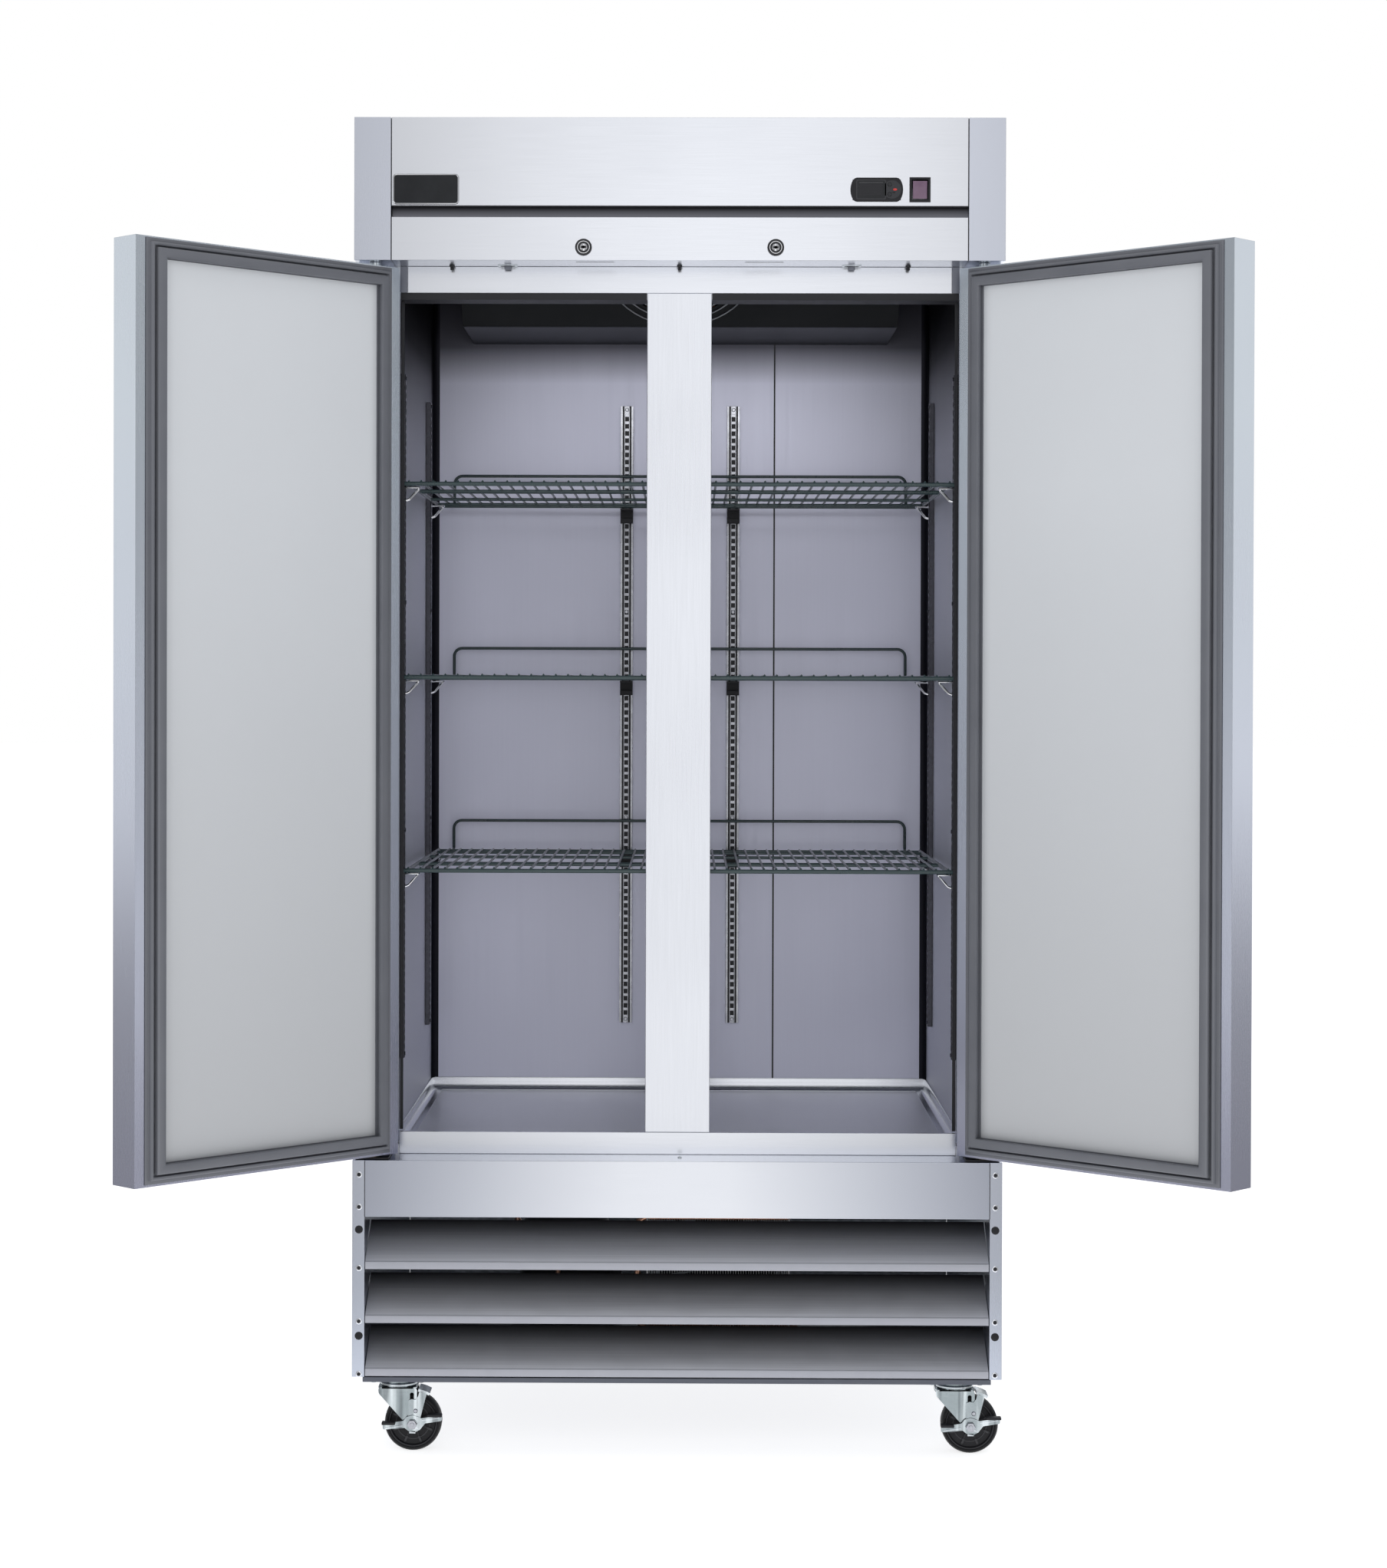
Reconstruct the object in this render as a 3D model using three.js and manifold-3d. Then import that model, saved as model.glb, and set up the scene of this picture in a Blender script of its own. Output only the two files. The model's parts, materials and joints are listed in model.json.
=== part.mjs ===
// Two-door reach-in refrigerator with its machine compartment underneath.
// Millimetres, +Z up, the front faces -Y. The doors stand open at rest.
// Inside the cabinet group y = 0 is the front plane of the header and base.
import * as THREE from 'three';
import * as BufferGeometryUtils from 'three/addons/utils/BufferGeometryUtils.js';
import Module from 'manifold-3d';

const wasm = await Module();
wasm.setup();

// ---- driving dimensions ----
const HALF_WIDTH = 501.5;
const DEPTH = 790;
const TOP = 2072;
const HEADER_BOTTOM = 1852;
const LOCK_STRIP_TOP = 1918.5;
const HEADER_PANEL_BOTTOM = 1936;
const BASE_TOP = 463;
const BASE_BOTTOM = 128;
const DECK_BOTTOM = 119;
const FRONT_PLANE_Y = -229; // where the cabinet's front plane lies in the part's own frame

const SHEET = 1.5;
const SKIN = 1.2; // folded wall skins
const GAP = 0.3;
const FRAME_Y = 72; // front faces of fascia, mullion and sill
const FRAME_T = 2;
const WALL_Y = FRAME_Y + FRAME_T + GAP; // front of the insulated walls
const STILE_HEADER = 56.5;
const STILE_BASE = 19;

const INNER_X = 440; // liner faces
const LINER_T = 2;
const INNER_BACK = 735;
const INNER_FLOOR = 480;
const INNER_CEILING = 1990;
const JAMB_X = 437;
const JAMB_DEPTH = 16;
const FLOOR_WALL_BOTTOM = 400;
const FASCIA_BOTTOM = 1811;
const BREAKER_BOTTOM = 1800.6;
const SILL_TOP = 497.6;
const MULLION_HALF = 50.5;
const MULLION_DEPTH = 26;

const PIVOT_X = 472;
const PIVOT_Y = 29;
const DOOR_T = 54;
const DOOR_HINGE_SIDE = 27.2; // from the pivot to the hinge-side edge
const DOOR_FREE_SIDE = 469; // from the pivot to the free edge
const DOOR_BOTTOM = 469.5;
const DOOR_TOP = 1843.9;
const DOOR_OPEN_LEFT = 134.3; // degrees open at rest
const DOOR_OPEN_RIGHT = 137.3;
const DOOR_FLANGE = 20;
const GASKET_WIDTH = 30;
const GASKET_T = 14.3;
const GASKET_SIDE_INSET = 17;
const GASKET_TOP_INSET = 2;
const GASKET_BOTTOM_INSET = 3.5;
const HINGE_PIN_R = 5;

const LOCK_X = 148;
const LOCK_Z = 1872;
const CAM_LENGTH = 38;
const CAM_HALF = 6;
const CAM_Y = 19.5;
const CAM_T = 3;
const SWITCH_LEVER_X = 268;

const CONTROLLER_X = 303;
const CONTROLLER_Z = 1961;
const CONTROLLER_W = 81;
const CONTROLLER_H = 37;
const BUTTON_R = 2.6;
const BUTTON_X = 322.7;
const BUTTON_RISE = 7.6; // from the controller's middle line to each button
const ROCKER_X = 369.5;
const ROCKER_W = 24;
const ROCKER_H = 30;
const ROCKER_TILT = 7;

const BLADE_LIP_TOPS = [306, 222.7, 140.6];
const BLADE_LIP = 13.5;
const BLADE_RISE = 50;
const BLADE_RUN = 92;
const PANEL_BOTTOM = 375.6;

const SHELF_TOPS = [1519, 1214.3, 909.5];
const SHELF_HALF = 436;
const SHELF_FRONT_Y = 101;
const SHELF_BACK_Y = 712;
const SHELF_WIRE = 4;
const SHELF_RAIL = 7;
const SHELF_CROSS_WIRES = 22;
const BACKSTOP_HEIGHT = 51;

const PILASTER_W = 22.5;
const PILASTER_T = 8;
const SIDE_PILASTER_SPAN = [608, 1688];
const BACK_PILASTER_SPAN = [599, 1694];
const PILASTER_FRONT_Y = 120;
const PILASTER_REAR_Y = 605;
const PILASTER_BACK_X = 94.5;

const COVER_HALF = 368;
const COVER_BOTTOM = 1805;
const COVER_FRONT_Y = 470;
const FAN_R = 100;
const FAN_INSET = 14; // the fan's middle plane lies this far behind the cover's slanted face

const CASTER_X = 435;
const CASTER_Y = 72;
const CASTER_TRAIL = 23;
const WHEEL_R = 44.5;
const WHEEL_W = 32;
const AXLE_R = 5;
const FORK_CROWN_Z = 100;
const FORK_T = 3;
const FORK_REACH = 29; // from the swivel axis to the end of the crown away from the wheel
const RACE_TOP = 113.7;
const PEDAL_REACH = 45; // each arm of the brake pedal, from the axle
const PEDAL_T = 2.5;

// ---- solids ----
function toSolid(geometry) {
  geometry.deleteAttribute('normal');
  geometry.deleteAttribute('uv');
  const merged = BufferGeometryUtils.mergeVertices(geometry, 1e-4);
  const mesh = new wasm.Mesh({
    numProp: 3,
    vertProperties: new Float32Array(merged.attributes.position.array),
    triVerts: new Uint32Array(merged.index.array),
  });
  return new wasm.Manifold(mesh);
}

function toGeometry(solid) {
  const mesh = solid.getMesh();
  const geometry = new THREE.BufferGeometry();
  geometry.setAttribute('position', new THREE.BufferAttribute(new Float32Array(mesh.vertProperties), 3));
  geometry.setIndex(new THREE.BufferAttribute(new Uint32Array(mesh.triVerts), 1));
  geometry.computeVertexNormals();
  return geometry;
}

function box(x0, x1, y0, y1, z0, z1) {
  const geometry = new THREE.BoxGeometry(Math.abs(x1 - x0), Math.abs(y1 - y0), Math.abs(z1 - z0));
  geometry.translate((x0 + x1) / 2, (y0 + y1) / 2, (z0 + z1) / 2);
  return toSolid(geometry);
}

// A cylinder along 'x', 'y' or 'z' from low to high, its axis through the other two coordinates.
function rod(axis, a, b, low, high, radius, sides = 24) {
  const geometry = new THREE.CylinderGeometry(radius, radius, high - low, sides);
  const mid = (low + high) / 2;
  if (axis === 'x') {
    geometry.rotateZ(Math.PI / 2);
    geometry.translate(mid, a, b);
  } else if (axis === 'y') {
    geometry.translate(a, mid, b);
  } else {
    geometry.rotateX(Math.PI / 2);
    geometry.translate(a, b, mid);
  }
  return toSolid(geometry);
}

// A flat outline pushed along an axis: points are [y, z] along x, [x, z] along y and [x, y] along z.
function prism(axis, points, low, high) {
  const shape = new THREE.Shape(points.map(([a, b]) => new THREE.Vector2(a, b)));
  const geometry = new THREE.ExtrudeGeometry(shape, { depth: high - low, bevelEnabled: false });
  if (axis === 'x') {
    geometry.applyMatrix4(new THREE.Matrix4().set(0, 0, 1, low, 1, 0, 0, 0, 0, 1, 0, 0, 0, 0, 0, 1));
  } else if (axis === 'y') {
    geometry.applyMatrix4(new THREE.Matrix4().set(1, 0, 0, 0, 0, 0, -1, high, 0, 1, 0, 0, 0, 0, 0, 1));
  } else {
    geometry.translate(0, 0, low);
  }
  return toSolid(geometry);
}

function lathe(profile, sides = 28) {
  const points = profile.map(([r, h]) => new THREE.Vector2(r, h));
  return toSolid(new THREE.LatheGeometry(points, sides));
}

function join(...solids) {
  return solids.reduce((a, b) => a.add(b));
}

function cut(solid, ...tools) {
  return tools.reduce((a, b) => a.subtract(b), solid);
}

// ---- materials ----
function finish(color, roughness, metalness) {
  return { color, roughness, metalness };
}

const STAINLESS = finish(0xc9cdd6, 0.35, 0.9);
const ALUMINIUM = finish(0x9a9caa, 0.45, 0.8);
const PALE_LINER = finish(0xb4b6ba, 0.5, 0.3);
const CHROME = finish(0xd8dae0, 0.15, 1);
const ZINC = finish(0x9aa2ae, 0.35, 0.9);
const GALVANISED = finish(0x8b9097, 0.5, 0.8);
const GREEN_EPOXY = finish(0x24393c, 0.45, 0.1);
const RUBBER = finish(0x62666c, 0.75, 0);
const BLACK_PLASTIC = finish(0x1a1a1e, 0.5, 0);
const BLACK_RUBBER = finish(0x161618, 0.7, 0);
const ROCKER_PLASTIC = finish(0x6a5068, 0.3, 0);
const COPPER_BROWN = finish(0x6a4a3a, 0.5, 0.6);
const BLACK_PAINT = finish(0x141416, 0.45, 0.2);

function part(name, solid, look) {
  const mesh = new THREE.Mesh(toGeometry(solid), new THREE.MeshStandardMaterial({ ...look }));
  mesh.name = name;
  return mesh;
}

const cabinet = new THREE.Group();
cabinet.position.set(0, FRONT_PLANE_Y, 0);

const SIDES = [
  { name: 'left', s: -1 },
  { name: 'right', s: 1 },
];

// ---- insulated walls ----
// Each wall is a folded skin, open where its neighbour covers it; the foam inside is left out.
// The upper hinge pin hangs under the header end of the side wall.
function sideWall({ name, s }) {
  const wallX = INNER_X + LINER_T + GAP;
  const header = box(s * (HALF_WIDTH - STILE_HEADER), s * HALF_WIDTH, 0, WALL_Y, HEADER_BOTTOM, TOP);
  const wall = box(s * wallX, s * HALF_WIDTH, WALL_Y, DEPTH, FLOOR_WALL_BOTTOM, TOP);
  const jamb = box(s * JAMB_X, s * (wallX + 1), WALL_Y, WALL_Y + JAMB_DEPTH - GAP, SILL_TOP + GAP, BREAKER_BOTTOM);
  const lower = box(s * (HALF_WIDTH - STILE_BASE), s * HALF_WIDTH, WALL_Y - 1, DEPTH, BASE_BOTTOM, FLOOR_WALL_BOTTOM);
  const stile = box(s * (HALF_WIDTH - STILE_BASE), s * HALF_WIDTH, 0, WALL_Y, BASE_BOTTOM, BASE_TOP);
  const hollow = box(
    s * (wallX - 1), s * (HALF_WIDTH - SKIN), WALL_Y + SKIN, DEPTH - SKIN, FLOOR_WALL_BOTTOM + SKIN, TOP - SKIN,
  );
  const headerHollow = box(
    s * (HALF_WIDTH - STILE_HEADER + SKIN), s * (HALF_WIDTH - SKIN), SKIN, WALL_Y + SKIN + 1,
    HEADER_BOTTOM + SKIN, TOP - SKIN,
  );
  const pin = rod('z', s * PIVOT_X, PIVOT_Y, DOOR_TOP - 10, HEADER_BOTTOM + 1, HINGE_PIN_R);
  const shell = cut(join(header, wall, lower, stile), hollow, headerHollow);
  return part(`side_wall_${name}`, join(shell, jamb, pin), STAINLESS);
}

function rearWall() {
  const reach = INNER_X + LINER_T;
  const insulated = box(-reach, reach, INNER_BACK + LINER_T + GAP, DEPTH, FLOOR_WALL_BOTTOM, TOP);
  const plateReach = HALF_WIDTH - STILE_BASE - GAP;
  const plate = box(-plateReach, plateReach, DEPTH - SHEET, DEPTH, BASE_BOTTOM, FLOOR_WALL_BOTTOM - GAP);
  const joint = box(-reach, reach, DEPTH - SKIN, DEPTH, FLOOR_WALL_BOTTOM - 1, FLOOR_WALL_BOTTOM + 1);
  const hollow = box(
    -reach - 1, reach + 1, INNER_BACK + LINER_T + GAP + SKIN, DEPTH - SKIN, FLOOR_WALL_BOTTOM + SKIN, TOP - SKIN,
  );
  const slots = [hollow];
  for (let row = 0; row < 6; row++) {
    const z = 180 + row * 32;
    slots.push(box(-320, -20, DEPTH - 5, DEPTH + 5, z, z + 12));
    slots.push(box(20, 320, DEPTH - 5, DEPTH + 5, z, z + 12));
  }
  return part('rear_wall', cut(join(insulated, plate, joint), ...slots), GALVANISED);
}

function roofWall() {
  const reach = INNER_X + LINER_T;
  const back = INNER_BACK + LINER_T;
  const roof = box(-reach, reach, WALL_Y, back, INNER_CEILING, TOP);
  const frontWall = box(-reach, reach, WALL_Y, WALL_Y + 50, BREAKER_BOTTOM + GAP, INNER_CEILING + 1);
  const roofHollow = box(-reach - 1, reach + 1, WALL_Y + SKIN, back - SKIN, INNER_CEILING + SKIN, TOP - SKIN);
  const frontHollow = box(
    -reach - 1, reach + 1, WALL_Y + SKIN, WALL_Y + 50 - SKIN, BREAKER_BOTTOM + GAP + SKIN, INNER_CEILING + SKIN + 1,
  );
  return part('roof_wall', cut(join(roof, frontWall), roofHollow, frontHollow), STAINLESS);
}

function floorWall() {
  const reach = INNER_X + LINER_T;
  const top = INNER_FLOOR - LINER_T - GAP;
  const back = INNER_BACK + LINER_T;
  const hollow = box(-reach - 1, reach + 1, WALL_Y + SKIN, back - SKIN, FLOOR_WALL_BOTTOM + SKIN, top - SKIN);
  return part('floor_wall', cut(box(-reach, reach, WALL_Y, back, FLOOR_WALL_BOTTOM, top), hollow), ALUMINIUM);
}

cabinet.add(...SIDES.map(sideWall), rearWall(), roofWall(), floorWall());

// ---- interior liner sheets ----
function sideLiner({ name, s }) {
  const y0 = WALL_Y + JAMB_DEPTH;
  const ceiling = INNER_CEILING - GAP;
  const sheet = box(s * INNER_X, s * (INNER_X + LINER_T), y0, INNER_BACK - GAP, INNER_FLOOR + GAP, ceiling);
  const notch = box(s * (INNER_X - 1), s * (INNER_X + LINER_T + 1), y0 - 1, WALL_Y + 50 + GAP, BREAKER_BOTTOM, TOP);
  return part(`liner_${name}`, cut(sheet, notch), ALUMINIUM);
}

const linerReach = INNER_X + LINER_T;
const linerBack = box(
  -linerReach, linerReach, INNER_BACK, INNER_BACK + LINER_T, INNER_FLOOR + GAP, INNER_CEILING - GAP,
);
const linerFloor = box(
  -linerReach + GAP, linerReach - GAP, WALL_Y + JAMB_DEPTH, INNER_BACK + LINER_T - GAP,
  INNER_FLOOR - LINER_T, INNER_FLOOR,
);
cabinet.add(
  ...SIDES.map(sideLiner),
  part('liner_back', linerBack, ALUMINIUM),
  part('liner_floor', linerFloor, ALUMINIUM),
);

// ---- front frame ----
const fascia = box(-425, 425, FRAME_Y, FRAME_Y + FRAME_T, FASCIA_BOTTOM, HEADER_BOTTOM - GAP);
const mullion = join(
  box(-MULLION_HALF, MULLION_HALF, FRAME_Y, FRAME_Y + FRAME_T, SILL_TOP + GAP, FASCIA_BOTTOM - GAP),
  box(
    -MULLION_HALF, MULLION_HALF, FRAME_Y + 1, FRAME_Y + MULLION_DEPTH, SILL_TOP + GAP, BREAKER_BOTTOM,
  ),
);
const sill = join(
  box(-436, 436, FRAME_Y, FRAME_Y + FRAME_T, BASE_TOP + GAP, SILL_TOP),
  prism('x', [
    [FRAME_Y + 1, INNER_FLOOR + 1],
    [WALL_Y + JAMB_DEPTH, INNER_FLOOR + 1],
    [FRAME_Y + FRAME_T + 6, SILL_TOP],
    [FRAME_Y + 1, SILL_TOP],
  ], -436, 436),
);
cabinet.add(
  part('fascia', fascia, STAINLESS),
  part('mullion', mullion, STAINLESS),
  part('sill', sill, STAINLESS),
);

// ---- header ----
const headerReach = HALF_WIDTH - STILE_HEADER - 1;

function headerPanel() {
  const front = box(-headerReach, headerReach, 0, SHEET, HEADER_PANEL_BOTTOM, TOP);
  const top = box(-headerReach, headerReach, 0, WALL_Y - GAP, TOP - SHEET, TOP);
  const lip = box(-headerReach, headerReach, 0, 16, HEADER_PANEL_BOTTOM, HEADER_PANEL_BOTTOM + SHEET);
  const recess = box(-headerReach, headerReach, 14.5, 16, LOCK_STRIP_TOP - 12, HEADER_PANEL_BOTTOM + SHEET);
  const controllerHole = box(
    CONTROLLER_X - CONTROLLER_W / 2 + 4, CONTROLLER_X + CONTROLLER_W / 2 - 4, -1, SHEET + 1,
    CONTROLLER_Z - CONTROLLER_H / 2 + 3, CONTROLLER_Z + CONTROLLER_H / 2 - 3,
  );
  const rockerHole = box(
    ROCKER_X - ROCKER_W / 2 - 1, ROCKER_X + ROCKER_W / 2 + 1, -1, SHEET + 1,
    CONTROLLER_Z - ROCKER_H / 2 - 2, CONTROLLER_Z + ROCKER_H / 2 + 2,
  );
  return part('header_panel', cut(join(front, top, lip, recess), controllerHole, rockerHole), STAINLESS);
}

// The lower header strip turns under as the soffit over the doors.
function lockStrip() {
  const front = box(-headerReach, headerReach, 0, SHEET, HEADER_BOTTOM, LOCK_STRIP_TOP);
  const top = box(-headerReach, headerReach, 0, 14.5 - GAP, LOCK_STRIP_TOP - SHEET, LOCK_STRIP_TOP);
  const soffit = box(-headerReach, headerReach, 0, FRAME_Y - GAP, HEADER_BOTTOM, HEADER_BOTTOM + SHEET);
  const tools = [];
  for (const { s } of SIDES) {
    const slotEnds = [s * (LOCK_X + 12), s * (LOCK_X - CAM_LENGTH - 8)];
    tools.push(rod('y', s * LOCK_X, LOCK_Z, -1, SHEET + 1, 9.5));
    tools.push(box(...slotEnds, CAM_Y - 3, CAM_Y + CAM_T + 3, HEADER_BOTTOM - 1, HEADER_BOTTOM + SHEET + 1));
    const lever = s * SWITCH_LEVER_X;
    tools.push(box(lever - 12, lever + 12, 54, 70, HEADER_BOTTOM - 1, HEADER_BOTTOM + SHEET + 1));
  }
  return part('lock_strip', cut(join(front, top, soffit), ...tools), STAINLESS);
}

cabinet.add(headerPanel(), lockStrip());

// ---- controller, its two buttons and the rocker switch ----
const CONTROLLER_PROUD = 3;

function controller() {
  const corner = CONTROLLER_H / 2;
  const half = CONTROLLER_W / 2;
  const outline = [];
  for (let i = 0; i <= 8; i++) {
    const a = -Math.PI / 2 + (Math.PI * i) / 8;
    outline.push([half - 10 + Math.cos(a) * 10, Math.sin(a) * corner]);
  }
  for (let i = 0; i <= 8; i++) {
    const a = Math.PI / 2 + (Math.PI * i) / 8;
    outline.push([-half + 10 + Math.cos(a) * 10, Math.sin(a) * corner]);
  }
  const placed = outline.map(([x, z]) => [x + CONTROLLER_X, z + CONTROLLER_Z]);
  const face = prism('y', placed, -CONTROLLER_PROUD, -GAP);
  const body = box(
    CONTROLLER_X - 35, CONTROLLER_X + 35, -1, 45, CONTROLLER_Z - 14, CONTROLLER_Z + 14,
  );
  const holes = [-1, 1].map((s) => rod(
    'y', BUTTON_X, CONTROLLER_Z + s * BUTTON_RISE, -CONTROLLER_PROUD - 1, 2, BUTTON_R + 0.5, 16,
  ));
  return part('controller', cut(join(face, body), ...holes), BLACK_PLASTIC);
}

function controllerButton(name, s) {
  const solid = rod('y', BUTTON_X, CONTROLLER_Z + s * BUTTON_RISE, -CONTROLLER_PROUD - 1, 0.5, BUTTON_R, 16);
  return part(`controller_button_${name}`, solid, BLACK_PLASTIC);
}

function rockerPaddle() {
  const outline = [
    [-4.5, -ROCKER_H / 2], [-2.5, 0], [-4.5, ROCKER_H / 2], [8, ROCKER_H / 2 - 5], [8, -ROCKER_H / 2 + 5],
  ];
  const mesh = part('rocker_switch', prism('x', outline, -ROCKER_W / 2, ROCKER_W / 2), ROCKER_PLASTIC);
  mesh.position.set(ROCKER_X, 2, CONTROLLER_Z);
  mesh.rotation.x = THREE.MathUtils.degToRad(ROCKER_TILT);
  return mesh;
}

cabinet.add(controller(), controllerButton('upper', 1), controllerButton('lower', -1), rockerPaddle());

// ---- lock cylinders with their cams, and door switch levers ----
function lockCylinder({ name, s }) {
  const x = s * LOCK_X;
  const face = rod('y', x, LOCK_Z, -3, -GAP, 11.5);
  const keyway = box(x - 4.5, x + 4.5, -4, -1.5, LOCK_Z - 1, LOCK_Z + 1);
  const body = rod('y', x, LOCK_Z, -1, CAM_Y + 1, 8.5);
  const cam = box(x + s * CAM_HALF, x - s * CAM_LENGTH, CAM_Y, CAM_Y + CAM_T, LOCK_Z - CAM_HALF, LOCK_Z + CAM_HALF);
  return part(`lock_cylinder_${name}`, cut(join(face, body, cam), keyway), CHROME);
}

function switchLever({ name, s }) {
  const x = s * SWITCH_LEVER_X;
  const bar = box(x - 9, x + 9, 59, 63, HEADER_BOTTOM + 3, HEADER_BOTTOM + 7);
  const tongue = box(x - 3, x + 3, 59.5, 62.5, HEADER_BOTTOM - 6.5, HEADER_BOTTOM + 5);
  return part(`door_switch_lever_${name}`, join(bar, tongue), ZINC);
}

cabinet.add(...SIDES.map(lockCylinder), ...SIDES.map(switchLever));

// ---- base: upper panel with ledge, louvre blades and deck ----
const baseReach = HALF_WIDTH - STILE_BASE - GAP;
const basePanel = join(
  box(-baseReach, baseReach, 0, SHEET, PANEL_BOTTOM, BASE_TOP),
  box(-baseReach, baseReach, 0, WALL_Y - GAP, BASE_TOP - SHEET, BASE_TOP),
);
cabinet.add(part('base_panel', basePanel, STAINLESS));

function louvreBlade(lipTop, name) {
  const section = [
    [0, lipTop - BLADE_LIP],
    [SHEET, lipTop - BLADE_LIP],
    [SHEET + 0.5, lipTop - SHEET],
    [BLADE_RUN, lipTop + BLADE_RISE - SHEET],
    [BLADE_RUN - 1, lipTop + BLADE_RISE],
    [0, lipTop],
  ];
  return part(`louvre_${name}`, prism('x', section, -baseReach, baseReach), STAINLESS);
}

['upper', 'middle', 'lower'].forEach((name, i) => cabinet.add(louvreBlade(BLADE_LIP_TOPS[i], name)));

function baseDeck() {
  const reach = HALF_WIDTH - 16;
  const tray = box(-reach, reach, 4, DEPTH - 4, DECK_BOTTOM, BASE_BOTTOM - 1);
  const pads = [];
  for (const { s } of SIDES) {
    for (const y of [CASTER_Y, DEPTH - CASTER_Y]) {
      const x = s * CASTER_X;
      pads.push(box(x - 46, x + 46, y - 38, y + 38, RACE_TOP + GAP, DECK_BOTTOM + 1));
    }
  }
  return part('base_deck', join(tray, ...pads), GALVANISED);
}

cabinet.add(baseDeck());

// ---- evaporator at the top of the interior ----
const coverTop = INNER_CEILING - GAP;
const coverRise = coverTop - COVER_BOTTOM;
const fanUp = coverRise / 2;
const fanFace = { y: COVER_FRONT_Y - fanUp, z: COVER_BOTTOM + fanUp };

function alongFan(solid, inset) {
  const tilt = new THREE.Matrix4().makeRotationX(Math.PI / 4);
  const geometry = toGeometry(solid);
  geometry.applyMatrix4(tilt);
  geometry.translate(0, fanFace.y + inset * Math.SQRT1_2, fanFace.z + inset * Math.SQRT1_2);
  return toSolid(geometry);
}

function evaporatorCover() {
  const back = INNER_BACK - GAP;
  const outer = prism('x', [
    [back, COVER_BOTTOM], [back, coverTop], [COVER_FRONT_Y - coverRise, coverTop], [COVER_FRONT_Y, COVER_BOTTOM],
  ], -COVER_HALF, COVER_HALF);
  const inner = prism('x', [
    [back + 1, COVER_BOTTOM + SHEET], [back + 1, coverTop + 5],
    [COVER_FRONT_Y - coverRise - 3, coverTop + 5], [COVER_FRONT_Y + 1, COVER_BOTTOM + SHEET],
  ], -COVER_HALF + SHEET, COVER_HALF - SHEET);
  const hole = alongFan(rod('y', 0, 0, -40, 40, FAN_R + 6, 32), 0);
  return part('evaporator_cover', cut(outer, inner, hole), BLACK_PAINT);
}

// A fan: a hub on the y axis with flat blades pitched round it.
function fanSolid(radius, blades, hub, width) {
  let solid = rod('y', 0, 0, -width / 2, width / 2, hub, 16);
  for (let i = 0; i < blades; i++) {
    const geometry = new THREE.BoxGeometry(radius - hub + 6, 2, width * 1.7);
    geometry.rotateX(THREE.MathUtils.degToRad(55));
    geometry.translate(hub - 6 + (radius - hub + 6) / 2, 0, 0);
    geometry.rotateY((2 * Math.PI * i) / blades);
    solid = solid.add(toSolid(geometry));
  }
  return solid.intersect(rod('y', 0, 0, -width, width, radius, 32));
}

const evaporatorFan = part('evaporator_fan', alongFan(fanSolid(FAN_R, 4, 20, 16), FAN_INSET), BLACK_PLASTIC);

// A coil block: flat fins across the x axis on straight tubes, between two end plates.
function finnedCoil(box3, fins, finT, tubeR, tubeRows, tubeColumns) {
  const { x0, x1, y0, y1, z0, z1 } = box3;
  let solid = join(box(x0, x0 + 3, y0, y1, z0, z1), box(x1 - 3, x1, y0, y1, z0, z1));
  for (let i = 1; i < fins; i++) {
    const x = x0 + ((x1 - x0) * i) / fins;
    solid = solid.add(box(x - finT / 2, x + finT / 2, y0 + 2, y1 - 2, z0 + 2, z1 - 2));
  }
  for (let row = 0; row < tubeRows; row++) {
    for (let column = 0; column < tubeColumns; column++) {
      const y = y0 + ((y1 - y0) * (column + 0.5)) / tubeColumns;
      const z = z0 + ((z1 - z0) * (row + 0.5)) / tubeRows;
      solid = solid.add(rod('x', y, z, x0 - 2, x1 + 2, tubeR, 6));
    }
  }
  return solid;
}

const EVAPORATOR = { x0: -320, x1: 320, y0: 520, y1: 710, z0: 1832, z1: 1975 };
const evaporatorCoil = finnedCoil(EVAPORATOR, 14, 1.5, 6, 2, 2);
cabinet.add(evaporatorCover(), evaporatorFan, part('evaporator_coil', evaporatorCoil, GALVANISED));

// ---- machine compartment ----
const CONDENSER = { x0: -60, x1: 190, y0: 120, y1: 165, z0: BASE_BOTTOM + GAP, z1: 372 };
const CONDENSER_FAN = { x: 65, y: 205, z: 255, r: 96 };

function condenserCoil() {
  return part('condenser_coil', finnedCoil(CONDENSER, 10, 1.5, 5, 3, 1), COPPER_BROWN);
}

function condenserFan() {
  const mesh = part('condenser_fan', fanSolid(CONDENSER_FAN.r, 5, 24, 22), BLACK_PAINT);
  mesh.position.set(CONDENSER_FAN.x, CONDENSER_FAN.y, CONDENSER_FAN.z);
  return mesh;
}

function compressor() {
  const shell = lathe([
    [0, 0], [66, 0], [78, 14], [80, 70], [84, 74], [84, 82], [80, 86], [78, 140], [62, 172], [30, 184], [0, 184],
  ]);
  const geometry = toGeometry(shell);
  geometry.rotateX(Math.PI / 2);
  geometry.translate(-190, 520, BASE_BOTTOM + 12);
  const feet = box(-285, -95, 440, 600, BASE_BOTTOM, BASE_BOTTOM + 14);
  return part('compressor', join(toSolid(geometry), feet), BLACK_PAINT);
}

cabinet.add(condenserCoil(), condenserFan(), compressor());

// ---- shelf pilasters ----
function pilaster(name, x0, x1, y0, y1, [bottom, top]) {
  return part(`pilaster_${name}`, box(x0, x1, y0, y1, bottom, top), CHROME);
}

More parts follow.
